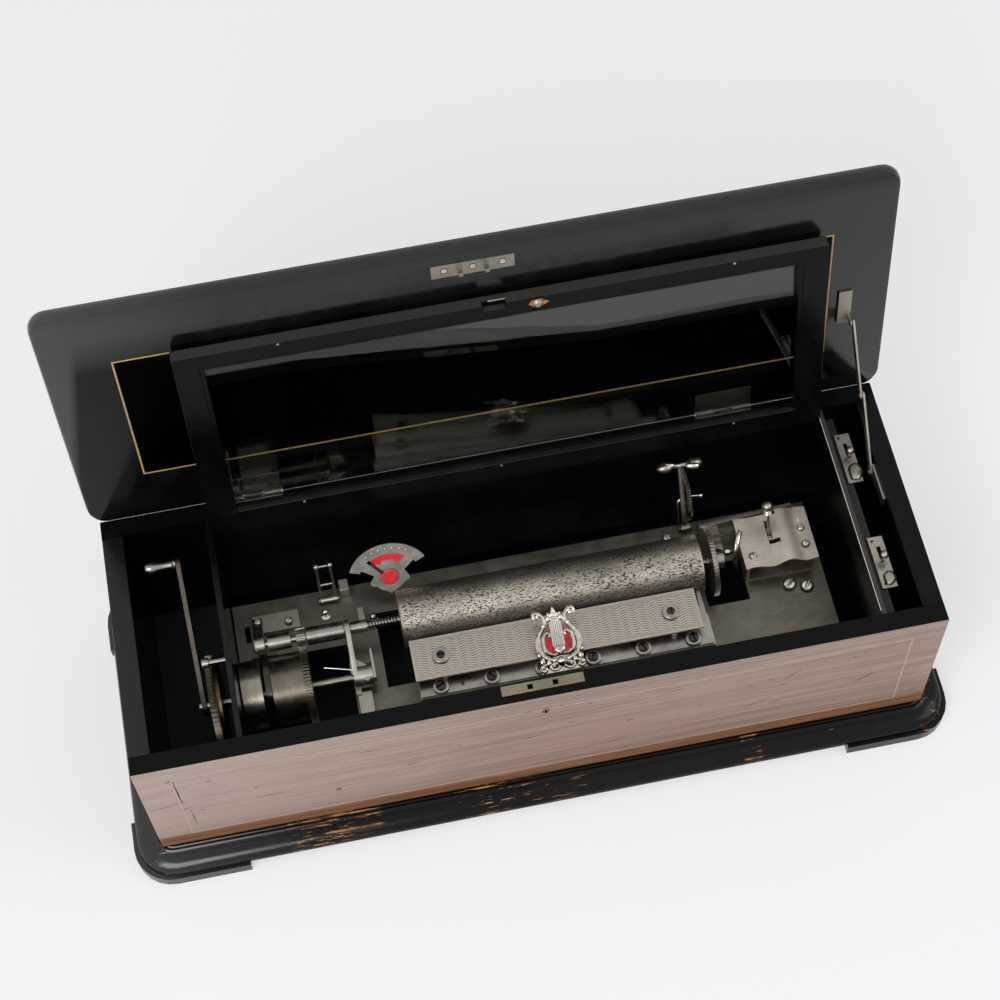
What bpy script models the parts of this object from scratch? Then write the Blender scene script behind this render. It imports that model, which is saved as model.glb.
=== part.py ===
"""Antique cylinder music box: a long case on a moulded plinth, with a hinged lid, a folding stay, an inner
glass lid, and a lever-wound movement with cylinder, comb, governor and tune indicator.

Metres, +Z up. X runs along the case, the front faces -Y, and the floor is at zero. The lids stand open."""

import math

import bmesh
import bpy

# Fits that all pieces share
SEAM = 0.0003            # gap between faces that touch
RUNNING_GAP = 0.0003     # gap round a shaft in its bearing
SIDE_PLAY = 0.0010       # room beside a piece that swings or slides
OVERRUN = 0.0020         # how far a cutter passes the face that it opens
LAP = 0.0005             # how far two shapes of one piece run into each other

# Case
CASE_WIDTH = 0.690
CASE_DEPTH = 0.240
CASE_TOP = 0.190
SIDE_WALL = 0.018
FRONT_WALL = 0.0165
BOTTOM_BOARD = 0.0075
PLINTH_HEIGHT = 0.0255
PLINTH_CORNER = 0.034
PLINTH_RIM = 0.030
MOULDING_OVERHANG = 0.0235
FOOT_OVERHANG = 0.027
FOOT_HEIGHT = 0.0095
FOOT_LENGTH = 0.100
FOOT_DEPTH = 0.060
PARTITION = 0.005
PARTITION_DROP = 0.0015
WINDING_BAY = 0.0715
CONTROL_BAY = 0.0305
CONTROL_LEDGE_WIDTH = 0.0125
CONTROL_LEDGE_THICK = 0.008
CONTROL_LEDGE_DROP = 0.022

# Lid
LID_OPEN_DEGREES = 99.6
LID_THICK = 0.014
LID_SIDE_OVERHANG = 0.008
LID_FRONT_OVERHANG = 0.0108
LID_CORNER = 0.016
LID_EDGE_ROUND = 0.0045
LID_AXIS_OUT = 0.0004
ROUNDING_SHARE = 0.3
HINGE_SPAN = 0.420
HINGE_LENGTH = 0.050
HINGE_KNUCKLE = 0.0028
HINGE_PIN = 0.0011
HINGE_LEAF = 0.0015
LID_LEAF_DEPTH = 0.025
CASE_LEAF_DEPTH = 0.011
STRIKER_LENGTH = 0.068
STRIKER_DEPTH = 0.0135
STRIKER_THICK = 0.0015
STRIKER_TAB = 0.0070
LOCK_LENGTH = 0.070
LOCK_DEPTH = 0.009
LOCK_THICK = 0.0015
LOCK_HOLE = 0.0045
LINK_HALF = 0.0019
LOCK_LEDGE = 0.0010
BOLT_POST = 0.0025
LOCK_HOLE_SPACING = 0.0215
LOCK_POCKET_DEEP = 0.0120
KEYHOLE_DROP = 0.0262
KEYHOLE_RADIUS = 0.0017
KEYHOLE_WIDTH = 0.0018
KEYHOLE_LENGTH = 0.0060
KEYHOLE_DEEP = 0.0100
BOLT_BAR = 0.0030
BOLT_WIDTH = 0.0018
BOLT_TRAVEL = 0.0045
BOLT_NOSE = 0.0040
BOLT_NOSE_RISE = 0.0014
LINK_LOOP = 0.0026
LINK_FOOT = 0.0014

# Glass lid
GLASS_OPEN_DEGREES = 104.0
GLASS_FRAME_THICK = 0.012
GLASS_FRAME_RAIL = 0.0245
GLASS_FRONT_RAIL = 0.0155
GLASS_BACK_RAIL = 0.0185
GLASS_PANE_THICK = 0.0025
GLASS_REBATE = 0.004
GLASS_AXIS_DROP = 0.003
GLASS_KNUCKLE = 0.0022
GLASS_LEAF = 0.0012
GLASS_HINGE_INSET = 0.055
GLASS_HINGE_LENGTH = 0.036
GLASS_LEAF_DEPTH = 0.010
CATCH_X = 0.003
CATCH_LENGTH = 0.019
CATCH_DEPTH = 0.006
GLASS_KNOB = 0.0045
GLASS_KNOB_HEIGHT = 0.003
GLASS_KNOB_X = 0.048

# Folding stay of the lid
STAY_STRIP = 0.0018
STAY_EYE = 0.0036
STAY_UPPER_SHARE = 0.4825
STAY_LANE_GAP = 0.0005
STAY_PIN = 0.0014
STAY_HEAD = 0.0023
STAY_EAR = 0.0016
STAY_LID_REACH = 0.0900
STAY_PIVOT_DROP = 0.0100
STAY_PIVOT_Y = 0.0370
STAY_LID_STANDOFF = 0.0062
STAY_PLATE = 0.0020
STAY_PLATE_FRONT = 0.032
STAY_PLATE_HEIGHT = 0.012
STAY_FOOT_LENGTH = 0.0380
STAY_FOOT_WIDTH = 0.0100
STAY_FOOT = 0.0014

# Bedplate
BED_TOP = 0.100
BED_THICK = 0.008
BED_LEFT_GAP = 0.001
BED_RIGHT_GAP = 0.015
BED_BEHIND_ARBOR = 0.0570
BED_FRONT_GAP = 0.0085
BACK_LEDGE_GAP = 0.0063
BACK_LEDGE_RISE = 0.007
RAIL_DEPTH = 0.020

# Spring barrel and winding work; every x place is measured from the bedplate's left edge
BARREL_AXIS_Y = -0.0335
BARREL_AXIS_RISE = 0.011
BARREL_START = 0.0265
BARREL_LENGTH = 0.0280
BARREL_RADIUS = 0.0320
BARREL_SHELL = 0.0025
GREAT_WHEEL_THICK = 0.006
GREAT_WHEEL_TEETH = 72
WINDING_DRUM_RADIUS = 0.0316
WINDING_DRUM_LENGTH = 0.0178
WINDING_ROD = 0.0040
WINDING_ROD_OUT = 0.0335
BARREL_BRACKET_GAP = 0.0015
BARREL_BRACKET_THICK = 0.0055
BARREL_BRACKET_WIDTH = 0.0220
BEARING_WALL = 0.0040
STAND_X = 0.0965
STAND_THICK = 0.0040
STAND_BACK = 0.0140
STAND_FRONT = 0.0150
BOSS_RADIUS = 0.0105
BOSS_LENGTH = 0.0170
SPRING_TURNS = 6
SPRING_STRIP = 0.0010
SPRING_CORE = 0.0062
RATCHET_TIP = 0.0425
RATCHET_ROOT = 0.0400
RATCHET_TEETH = 60
RATCHET_THICK = 0.006
RATCHET_OUT = 0.0152
BACKING_DISC = 0.0350
BACKING_DISC_THICK = 0.0035
LEVER_THICK = 0.004
LEVER_OUT = 0.0305
LEVER_HUB = 0.0085
LEVER_TIP = 0.0045
LEVER_REACH = 0.1262
LEVER_DEGREES = 33.2
HANDLE_LENGTH = 0.0270
HANDLE_BALL = 0.0054
HANDLE_PIN = 0.0013
PAWL_PIN = 0.0022
PAWL_BACK = 0.030     # radians that the tip lies behind the tooth's steep side
RATCHET_TIP_SHARE = 0.16
PAWL_LENGTH = 0.026
PAWL_HUB = 0.0045
PAWL_TIP = 0.0008
PAWL_LIFT = 0.0012
PAWL_CONTACT_DEGREES = 58.0
PAWL_LEAN_DEGREES = 35.0

# Cylinder and its arbor
ARBOR_AXIS_Y = 0.005
ARBOR_AXIS_RISE = 0.030
ARBOR_ROD = 0.0030
CYLINDER_START = 0.1451
CYLINDER_RADIUS = 0.0257
CYLINDER_CAP_STEP = 0.0015
CYLINDER_SHIFT = 0.0025
PINION_TEETH = 16
PINION_MARGIN = 0.0010
SLEEVE_RADIUS = 0.0078
LEFT_DRUM_RADIUS = 0.0072
LEFT_DRUM_START = 0.0285
LEFT_DRUM_LENGTH = 0.0200
LEFT_BRACKET_START = 0.0170
BRACKET_THICK = 0.0085
CRADLE_FOOT_THICK = 0.0040
CRADLE_FOOT_DEPTH = 0.0175
CRADLE_FOOT_Y = 0.0378
CRADLE_FOOT_LENGTH = 0.0410
BARREL_ARM = 0.0055
BARREL_FOOT_DEPTH = 0.0140
SLEEVE_ROD = 0.0042
WHEEL_ROOM = 0.0385
UNDER_CYLINDER_START = 0.1245
UNDER_CYLINDER_BACK = 0.030
GEAR_CUT_FRONT = -0.0245
GEAR_CUT_BACK = 0.0165
LEFT_SLOT_START = 0.0085
LEFT_SLOT_WIDTH = 0.0048
LEFT_SLOT_FRONT = 0.0240
LEFT_SLOT_BACK = 0.0400
BED_SCREW = 0.0058
RIGHT_SCREWS = ((0.0365, -0.0145), (0.0179, -0.0206))    # distance from the right edge, and y
BACK_SCREW_FROM_CYLINDER_END = 0.0146
BACK_SCREW_Y = 0.0530
CORNER_SCREW_X = 0.0230
CORNER_SCREW_SHARE = 0.35
CLEVIS_EAR = 0.0018
CLEVIS_RADIUS = 0.0028
CLEVIS_PIN = 0.0010
BEARING_HEAD = 0.0085
COLLAR_RADIUS = 0.0055
COLLAR_LENGTH = 0.0140
COIL_RADIUS = 0.0046
COIL_WIRE = 0.0010
COIL_TURNS = 10
COIL_POINTS = 9
GEAR_CLEAR = 0.0055
GEAR_THICK = 0.0040
GEAR_PITCH = 0.0308
GEAR_TEETH = 64
RIGHT_BRACKET_THICK = 0.0060
RIGHT_BRACKET_POST = 0.0140
RIGHT_BRACKET_BACK = 0.0560

# Governor
GOVERNOR_INSET = 0.0070
GOVERNOR_GAP = 0.0259
GOVERNOR_WIDTH = 0.0640
GOVERNOR_FRONT = -0.0070
GOVERNOR_BACK = 0.0430
GOVERNOR_RISE = 0.0232
GOVERNOR_CHEEK = 0.0030
GOVERNOR_AXIS_RISE = 0.0120
GOVERNOR_PINION_TEETH = 12
GOVERNOR_WHEEL_PITCH = 0.0092
GOVERNOR_WHEEL_TEETH = 36
GOVERNOR_WHEEL_THICK = 0.0025
GOVERNOR_WHEEL_OUT = 0.0180
FLY_TEETH = 9
FLY_ROD = 0.0010
GOVERNOR_ROD = 0.0013
FLY_RADIUS = 0.0058
FLY_LENGTH = 0.0260
FLY_BLADE = 0.0008
COVER_THICK = 0.0018
COVER_WAVE = 0.0030
COVER_EDGE_WAVE = 0.0012
HUMP_START_SHARE = 0.42
HUMP_LENGTH_SHARE = 0.38
GOVERNOR_BASE = 0.0017
COVER_SCREWS = ((0.0080, 0.0010), (0.0570, 0.0080), (0.0570, 0.0330))
SMALL_SCREW = 0.0020
SLOT_WIDTH = 0.0042
SLOT_LENGTH = 0.0240
SPEED_ROD = 0.0013
SPEED_REACH = 0.0330
SPEED_LEAN_DEGREES = 31.0
SPEED_BALL = 0.0053
SPEED_COLLAR = 0.0062
SPEED_X = 0.0275
SPEED_Y = 0.0205
SPEED_HUB_WIDTH = 0.0030
HUB_BITE_SHARE = 0.6

# Comb and zither
COMB_BASE_START = 0.1501
COMB_END_INSET = 0.0033
COMB_BASE_HEIGHT = 0.0270
COMB_BASE_DEPTH = 0.0300
COMB_FRONT_Y = -0.0735
COMB_THICK = 0.0026
COMB_TEETH = 48
COMB_TOOTH_LENGTH = 0.0150
COMB_TIP_GAP = 0.0006
COMB_MARGIN = 0.0008
COVER_START = 0.1483
COVER_END_INSET = 0.0088
COVER_DEPTH = 0.0390
COVER_PLATE = 0.0024
COVER_CLEAR = 0.0085
COVER_BACK_GAP = 0.0015
COVER_POST = 0.0032
COVER_SCREW_INSET = 0.0250
COMB_SCREW_INSET = 0.0064
COMB_SCREW = 0.0056
COMB_SCREW_SPACING = 0.0445
COMB_ROOT_SHARE = 0.80
COMB_TAPER_SHARE = 0.12
SCREW_HEAD = 0.0042
SCREW_HEAD_HEIGHT = 0.0022
SCREW_SLOT = 0.0010
LYRE_HEIGHT = 0.0540
LYRE_WIDTH = 0.0370
LYRE_BAR = 0.0034
LYRE_TILT_DEGREES = 20.0
LYRE_RISE = 0.0090
LYRE_OFFSET = 0.00135
LYRE_Y = -0.0475
LYRE_TRAVEL = 0.0050
LYRE_STRING = 0.0007
LYRE_STUD = 0.0018

# Tune indicator and small levers behind the cylinder
DIAL_X = 0.1435
DIAL_PIVOT_Y = 0.0476
DIAL_PIVOT_RISE = 0.030
DIAL_RADIUS = 0.0370
DIAL_RING = 0.0095
DIAL_THICK = 0.0010
DIAL_SLOPE_DEGREES = 65.0
DIAL_FROM_DEGREES = 27.0
DIAL_TO_DEGREES = 159.0
DIAL_HUB = 0.0145
DIAL_FOOT = 0.0090
DIAL_POST = 0.0040
DIAL_SPOKE = 0.0090
DIAL_SPOKE_SHARES = (0.12, 0.88)
POINTER_PIN = 0.0010
POINTER_LENGTH = 0.0240
POINTER_WIDTH = 0.0018
POINTER_DEGREES = 128.0
CHANGE_PAST_CYLINDER = 0.0014
CHANGE_REACH = 0.0640
CHANGE_WALL_GAP = 0.0141    # from its handle to the back wall
CHANGE_HUB = 0.0038
CHANGE_HUB_WIDTH = 0.0080
OLIVE_STRETCH = 1.6
CHANGE_STEM = 0.0023
CHANGE_SPAN = 0.0262
CHANGE_BALL = 0.0049
CHANGE_Y = 0.0555
CHANGE_RISE = 0.0048
REPEAT_X = 0.0870
REPEAT_Y = 0.0500
REPEAT_HEIGHT = 0.0440
REPEAT_WIDTH = 0.0150
REPEAT_BAR = 0.0026
REPEAT_LEAN_DEGREES = 15.0
REPEAT_BALL = 0.0026
REPEAT_FOOT_SHARE = 0.03
REPEAT_TIE_SHARES = (0.45, 0.99)
DETENT_REACH = 0.0240
DETENT_HUB = 0.0048
DETENT_TIP = 0.0014
DETENT_THICK = 0.0020
DETENT_Y = -0.0390
DETENT_PIN = 0.0012
DETENT_RISE = 0.0180
DETENT_DEGREES = 20.0

# Controls on the ledge of the right compartment
CONTROL_PLATE_LENGTH = 0.0500
CONTROL_PLATE_WIDTH = 0.0135
CONTROL_PLATE_THICK = 0.0020
CONTROL_BACK_INSET = 0.0440
CONTROL_FRONT_INSET = 0.0570
CONTROL_SLOT = 0.0034
CONTROL_SLOT_OUT = 0.0025
CONTROL_LEVER_OFFSET = 0.0015
CONTROL_DOME = 0.0034
DOME_STRETCH = 1.0
CONTROL_TRAVEL = 0.0120
CONTROL_PIN = 0.0012
CONTROL_BALL = 0.0040
CONTROL_BALL_RISE = 0.0105

# Tooth shapes, as shares of the module and of the angle of one tooth
ADDENDUM_SHARE = 0.75
DEDENDUM_SHARE = 1.05
TOOTH_ROOT_SHARE = 0.27
TOOTH_TIP_SHARE = 0.13

ROUND = 24     # facets of a large turned piece
FINE = 40      # facets of the cylinder
MEDIUM = 16    # facets of the arbor, and points in a turn of the mainspring
SMALL = 10     # facets of pins and small rods
THIN = 8       # facets of thin stems
CREASE_DEGREES = 35

# Places that follow from the sizes above
HALF_WIDTH = CASE_WIDTH / 2
HALF_DEPTH = CASE_DEPTH / 2
INNER_X = HALF_WIDTH - SIDE_WALL
INNER_Y = HALF_DEPTH - FRONT_WALL
WALL_FOOT = PLINTH_HEIGHT + SEAM
FLOOR_TOP = WALL_FOOT + BOTTOM_BOARD
PARTITION_TOP = CASE_TOP - PARTITION_DROP
LEFT_PARTITION_X = -INNER_X + WINDING_BAY
RIGHT_PARTITION_X = INNER_X - CONTROL_BAY - PARTITION
LEDGE_TOP = CASE_TOP - CONTROL_LEDGE_DROP
LID_AXIS_Y = HALF_DEPTH + LID_AXIS_OUT
LID_AXIS_Z = CASE_TOP + LID_AXIS_OUT
LOCK_Y = -INNER_Y - LOCK_DEPTH / 2
GLASS_AXIS_Y = INNER_Y - GLASS_KNUCKLE - SEAM
GLASS_AXIS_Z = CASE_TOP - GLASS_AXIS_DROP
GLASS_LEFT = LEFT_PARTITION_X + PARTITION + SIDE_PLAY
GLASS_RIGHT = RIGHT_PARTITION_X - SIDE_PLAY
GLASS_LENGTH = GLASS_AXIS_Y + INNER_Y - SIDE_PLAY
BED_LEFT = LEFT_PARTITION_X + PARTITION + BED_LEFT_GAP
BED_RIGHT = RIGHT_PARTITION_X - BED_RIGHT_GAP
BED_BACK = ARBOR_AXIS_Y + BED_BEHIND_ARBOR
BED_FRONT = -INNER_Y + BED_FRONT_GAP
BED_FOOT = BED_TOP - BED_THICK
ON_BED = BED_TOP + SEAM
ARBOR_Z = BED_TOP + ARBOR_AXIS_RISE
BARREL_Z = BED_TOP + BARREL_AXIS_RISE
ARBOR_CENTRE = (ARBOR_AXIS_Y, ARBOR_Z)
BARREL_CENTRE = (BARREL_AXIS_Y, BARREL_Z)
CENTRE_DISTANCE = math.dist(ARBOR_CENTRE, BARREL_CENTRE)
GREAT_WHEEL_PITCH = CENTRE_DISTANCE * GREAT_WHEEL_TEETH / (GREAT_WHEEL_TEETH + PINION_TEETH)
PINION_PITCH = CENTRE_DISTANCE - GREAT_WHEEL_PITCH
BARREL_X = BED_LEFT + BARREL_START
WHEEL_X = BARREL_X + BARREL_LENGTH
CYLINDER_X = BED_LEFT + CYLINDER_START
STAND_LEFT = BED_LEFT + STAND_X
GOVERNOR_X = BED_RIGHT - GOVERNOR_INSET - GOVERNOR_WIDTH
RIGHT_BRACKET_X = GOVERNOR_X - GOVERNOR_GAP
GEAR_X = RIGHT_BRACKET_X - 2 * GEAR_THICK
CYLINDER_END = GEAR_X - GEAR_CLEAR - CYLINDER_SHIFT
GOVERNOR_TOP = BED_TOP + GOVERNOR_RISE
SPEED_AT = (GOVERNOR_X + SPEED_X, SPEED_Y, GOVERNOR_TOP + SEAM - CLEVIS_RADIUS + LAP)
CHANGE_AT = (CYLINDER_END + CHANGE_PAST_CYLINDER, CHANGE_Y, BED_TOP + CHANGE_RISE)
REPEAT_AT = (BED_LEFT + REPEAT_X, REPEAT_Y, BED_TOP + CHANGE_RISE)
DETENT_CENTRE = (DETENT_Y, BED_TOP + DETENT_RISE)
DIAL_AT = (BED_LEFT + DIAL_X, DIAL_PIVOT_Y, BED_TOP + DIAL_PIVOT_RISE)
GOVERNOR_Z = BED_TOP + GOVERNOR_AXIS_RISE
GOVERNOR_PINION_PITCH = GEAR_PITCH * GOVERNOR_PINION_TEETH / GEAR_TEETH
GOVERNOR_REACH = GEAR_PITCH + GOVERNOR_PINION_PITCH
GOVERNOR_Y = ARBOR_AXIS_Y + math.sqrt(GOVERNOR_REACH ** 2 - (ARBOR_Z - GOVERNOR_Z) ** 2)
GOVERNOR_CENTRE = (GOVERNOR_Y, GOVERNOR_Z)
FLY_PINION_PITCH = GOVERNOR_WHEEL_PITCH * FLY_TEETH / GOVERNOR_WHEEL_TEETH
FLY_CENTRE = (GOVERNOR_Y - GOVERNOR_WHEEL_PITCH - FLY_PINION_PITCH, GOVERNOR_Z)
COMB_BASE_X = BED_LEFT + COMB_BASE_START
COMB_END = CYLINDER_END - COMB_END_INSET
COMB_LENGTH = COMB_END - COMB_BASE_X
COMB_BASE_TOP = BED_TOP + COMB_BASE_HEIGHT
COMB_BASE_BACK = COMB_FRONT_Y + COMB_BASE_DEPTH
COMB_TOP = COMB_BASE_TOP + SEAM + COMB_THICK
COMB_TIP_Y = ARBOR_AXIS_Y - CYLINDER_RADIUS - COMB_TIP_GAP
COVER_FOOT = COMB_TOP + COVER_CLEAR
COVER_TOP = COVER_FOOT + COVER_PLATE
COVER_BACK_Y = COMB_TIP_Y - COVER_BACK_GAP
COVER_FRONT_Y = COVER_BACK_Y - COVER_DEPTH
COVER_X = BED_LEFT + COVER_START
COVER_END = COMB_END - COVER_END_INSET
LYRE_X = (COVER_X + COVER_END) / 2 + LYRE_OFFSET
FRONT_REACH = HALF_DEPTH + FOOT_OVERHANG
LID_LENGTH = CASE_DEPTH + LID_FRONT_OVERHANG + LID_AXIS_OUT
LID_OPEN = math.radians(LID_OPEN_DEGREES)
GLASS_OPEN = math.radians(GLASS_OPEN_DEGREES)
PAWL_CONTACT = math.radians(PAWL_CONTACT_DEGREES)
SPEED_LEAN = math.radians(SPEED_LEAN_DEGREES)
CHANGE_LEAN = math.asin((INNER_Y - CHANGE_WALL_GAP - CHANGE_Y) / CHANGE_REACH)
SMALL_ROUND = LID_EDGE_ROUND * ROUNDING_SHARE
LID_EDGE = (    # how far in from the edge, and how high
    (LID_EDGE_ROUND, 0.0), (SMALL_ROUND, SMALL_ROUND), (0.0, LID_EDGE_ROUND),
    (0.0, LID_THICK - LID_EDGE_ROUND), (SMALL_ROUND, LID_THICK - SMALL_ROUND), (LID_EDGE_ROUND, LID_THICK),
)
BACK_REACH = LID_AXIS_Y + max((inset - LID_LENGTH) * math.cos(LID_OPEN) + height * math.sin(LID_OPEN)
                              for inset, height in LID_EDGE)

# Colour, metallic and roughness of each finish
FINISHES = {
    "rosewood": ((0.46, 0.33, 0.29), 0.0, 0.4),
    "ebonised wood": ((0.012, 0.012, 0.013), 0.0, 0.35),
    "plain wood": ((0.30, 0.20, 0.12), 0.0, 0.7),
    "nickel": ((0.66, 0.63, 0.58), 1.0, 0.3),
    "steel": ((0.50, 0.49, 0.47), 1.0, 0.35),
    "brass": ((0.62, 0.46, 0.20), 1.0, 0.3),
    "spring steel": ((0.16, 0.17, 0.20), 1.0, 0.4),
    "silver": ((0.75, 0.73, 0.70), 1.0, 0.2),
    "glass": ((0.80, 0.86, 0.84), 0.0, 0.02),
}

root = None
lid_axis = None


def clear_scene():
    for old in list(bpy.data.objects):
        bpy.data.objects.remove(old)


def finish_material(node_name, finish):
    colour, metallic, roughness = FINISHES[finish]
    material = bpy.data.materials.new(f"{node_name} {finish}")
    material.use_nodes = True
    shader = material.node_tree.nodes["Principled BSDF"]
    shader.inputs["Base Color"].default_value = (*colour, 1.0)
    shader.inputs["Metallic"].default_value = metallic
    shader.inputs["Roughness"].default_value = roughness
    return material


# Shapes. Each function returns (points, faces) of closed surfaces.

def box(low, high):
    points = [(x, y, z) for x in (low[0], high[0]) for y in (low[1], high[1]) for z in (low[2], high[2])]
    faces = [(0, 1, 3, 2), (4, 6, 7, 5), (0, 4, 5, 1), (2, 3, 7, 6), (0, 2, 6, 4), (1, 5, 7, 3)]
    return points, faces


def loft(rings, closed=False):
    """Joins rings of equally many points; the two ends are filled unless the rings close on themselves."""
    count = len(rings[0])
    points = [point for ring in rings for point in ring]
    faces = []
    pairs = len(rings) if closed else len(rings) - 1
    for ring in range(pairs):
        here = ring * count
        there = (ring + 1) % len(rings) * count
        for i in range(count):
            j = (i + 1) % count
            faces.append((here + i, here + j, there + j, there + i))
    if not closed:
        faces.append(tuple(range(count)))
        faces.append(tuple(range((len(rings) - 1) * count, len(rings) * count)))
    return points, faces


def placed(axis, along, a, b):
    """A point at the given place along an axis, and at (a, b) in the other two."""
    return {"x": (along, a, b), "y": (a, along, b), "z": (a, b, along)}[axis]


def prism(axis, outline, low, high):
    return loft([[placed(axis, along, a, b) for a, b in outline] for along in (low, high)])


def circle(centre, radius, steps):
    turn = 2 * math.pi / steps
    return [toward(centre, radius, i * turn) for i in range(steps)]


def turned(axis, centre, profile, steps=ROUND, closed=False):
    """A turned piece. The profile is a list of (place along the axis, radius)."""
    rings = [[placed(axis, along, a, b) for a, b in circle(centre, radius, steps)]
             for along, radius in profile]
    return loft(rings, closed)


def tube(path, radius, steps=6):
    """A round tube along a path, with its ends square to the path."""
    count = len(path)
    rings = []
    side = None
    for i, point in enumerate(path):
        before = path[max(i - 1, 0)]
        after = path[min(i + 1, count - 1)]
        along = unit([b - a for a, b in zip(before, after)])
        if side is None:
            side = unit(cross(along, (0.0, 0.0, 1.0) if abs(along[0]) > 0.5 else (1.0, 0.0, 0.0)))
        up = unit(cross(along, side))
        side = unit(cross(up, along))
        ring = []
        for step in range(steps):
            angle = 2 * math.pi * step / steps
            shares = (math.cos(angle), math.sin(angle))
            ring.append(tuple(p + radius * (shares[0] * s + shares[1] * u)
                              for p, s, u in zip(point, side, up)))
        rings.append(ring)
    return loft(rings)


def rod(start, end, radius, steps=SMALL, end_radius=None):
    """A round rod between two points, which may taper."""
    along = unit([b - a for a, b in zip(start, end)])
    side = unit(cross(along, (0.0, 0.0, 1.0) if abs(along[0]) > 0.9 else (1.0, 0.0, 0.0)))
    up = cross(along, side)
    rings = []
    for centre, reach in ((start, radius), (end, radius if end_radius is None else end_radius)):
        ring = []
        for i in range(steps):
            angle = 2 * math.pi * i / steps
            shares = (math.cos(angle), math.sin(angle))
            ring.append(tuple(c + reach * (shares[0] * s + shares[1] * u)
                              for c, s, u in zip(centre, side, up)))
        rings.append(ring)
    return loft(rings)


def unit(vector):
    size = math.sqrt(sum(part * part for part in vector))
    return [part / size for part in vector]


def cross(a, b):
    return (a[1] * b[2] - a[2] * b[1], a[2] * b[0] - a[0] * b[2], a[0] * b[1] - a[1] * b[0])


def ball(centre, radius, steps=SMALL, stretch=1.0):
    """A ball, or an olive when stretched along X."""
    levels = steps // 2
    rings = []
    for level in range(levels + 1):
        angle = math.pi * level / levels
        reach = max(math.sin(angle), math.sin(math.pi / levels) / levels)
        x = centre[0] - radius * stretch * math.cos(angle)
        rings.append([(x, y, z) for y, z in circle(centre[1:], radius * reach, steps)])
    return loft(rings)


def together(*shapes):
    """Several separate shapes as one."""
    points, faces = [], []
    for more_points, more_faces in shapes:
        start = len(points)
        points += more_points
        faces += [tuple(start + i for i in face) for face in more_faces]
    return points, faces


def rounded_rectangle(x_from, x_to, y_from, y_to, radius, steps=5):
    corners = (
        (x_to - radius, y_to - radius, 0.0),
        (x_from + radius, y_to - radius, 0.5),
        (x_from + radius, y_from + radius, 1.0),
        (x_to - radius, y_from + radius, 1.5),
    )
    points = []
    for x, y, quarter in corners:
        for i in range(steps + 1):
            angle = math.pi * (quarter + 0.5 * i / steps)
            points.append((x + radius * math.cos(angle), y + radius * math.sin(angle)))
    return points


def capsule(start, end, start_radius, end_radius, steps=6):
    """Outline of a flat arm with round ends."""
    heading = math.atan2(end[1] - start[1], end[0] - start[0])
    points = []
    for centre, radius, first in ((end, end_radius, -0.5), (start, start_radius, 0.5)):
        for i in range(steps + 1):
            angle = heading + math.pi * (first + i / steps)
            points.append((centre[0] + radius * math.cos(angle), centre[1] + radius * math.sin(angle)))
    return points


def gear_outline(centre, teeth, pitch_radius, phase):
    """A toothed outline with one tooth centred on the angle phase."""
    module = 2 * pitch_radius / teeth
    tip = pitch_radius + ADDENDUM_SHARE * module
    base = pitch_radius - DEDENDUM_SHARE * module
    step = 2 * math.pi / teeth
    places = ((base, -TOOTH_ROOT_SHARE), (tip, -TOOTH_TIP_SHARE), (tip, TOOTH_TIP_SHARE),
              (base, TOOTH_ROOT_SHARE),)
    points = []
    for tooth in range(teeth):
        for radius, share in places:
            angle = phase + step * (tooth + share)
            points.append((centre[0] + radius * math.cos(angle), centre[1] + radius * math.sin(angle)))
    return points


def direction(a, b):
    return math.atan2(b[1] - a[1], b[0] - a[0])


def toward(centre, reach, angle):
    return (centre[0] + reach * math.cos(angle), centre[1] + reach * math.sin(angle))


# Objects

def mesh_object(name, shape, parent, offset):
    points, faces = shape
    mesh = bpy.data.meshes.new(name)
    mesh.from_pydata([tuple(p - o for p, o in zip(point, offset)) for point in points], [], faces)
    edit = bmesh.new()
    edit.from_mesh(mesh)
    bmesh.ops.recalc_face_normals(edit, faces=edit.faces)
    edit.to_mesh(mesh)
    edit.free()
    mesh.shade_smooth()
    mesh.set_sharp_from_angle(angle=math.radians(CREASE_DEGREES))
    made = bpy.data.objects.new(name, mesh)
    bpy.context.scene.collection.objects.link(made)
    made.parent = parent
    return made


def piece(name, finish, shape, add=(), cut=(), pivot=(0.0, 0.0, 0.0), parent=None):
    """One named part. pivot becomes its origin; add and cut are shapes that are joined on and cut away."""
    made = mesh_object(name, shape, parent or root, pivot)
    made.location = pivot
    made.data.materials.append(finish_material(name, finish))
    for operation, shapes in (("UNION", add), ("DIFFERENCE", cut)):
        for number, tool_shape in enumerate(shapes):
            tool = mesh_object(f"{name} {operation.lower()} {number}", tool_shape, made, pivot)
            tool.hide_render = True
            tool.display_type = "WIRE"
            boolean = made.modifiers.new(f"{operation.lower()} {number}", "BOOLEAN")
            boolean.operation = operation
            boolean.object = tool
            boolean.solver = "EXACT"
    return made


def axis_empty(name, place, turn):
    empty = bpy.data.objects.new(name, None)
    bpy.context.scene.collection.objects.link(empty)
    empty.parent = root
    empty.location = place
    empty.rotation_euler = (turn, 0.0, 0.0)
    return empty


def screw_heads(places, top, radius=SCREW_HEAD):
    """Upright screw heads, and the slots to cut in them."""
    low = top - LAP
    high = top + SCREW_HEAD_HEIGHT
    heads = [rod((x, y, low), (x, y, high), radius) for x, y in places]
    slots = []
    for x, y in places:
        across = radius + OVERRUN
        slots.append(box((x - across, y - SCREW_SLOT / 2, high - SCREW_SLOT),
                         (x + across, y + SCREW_SLOT / 2, high + OVERRUN)))
    return together(*heads), together(*slots)


# Case

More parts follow.
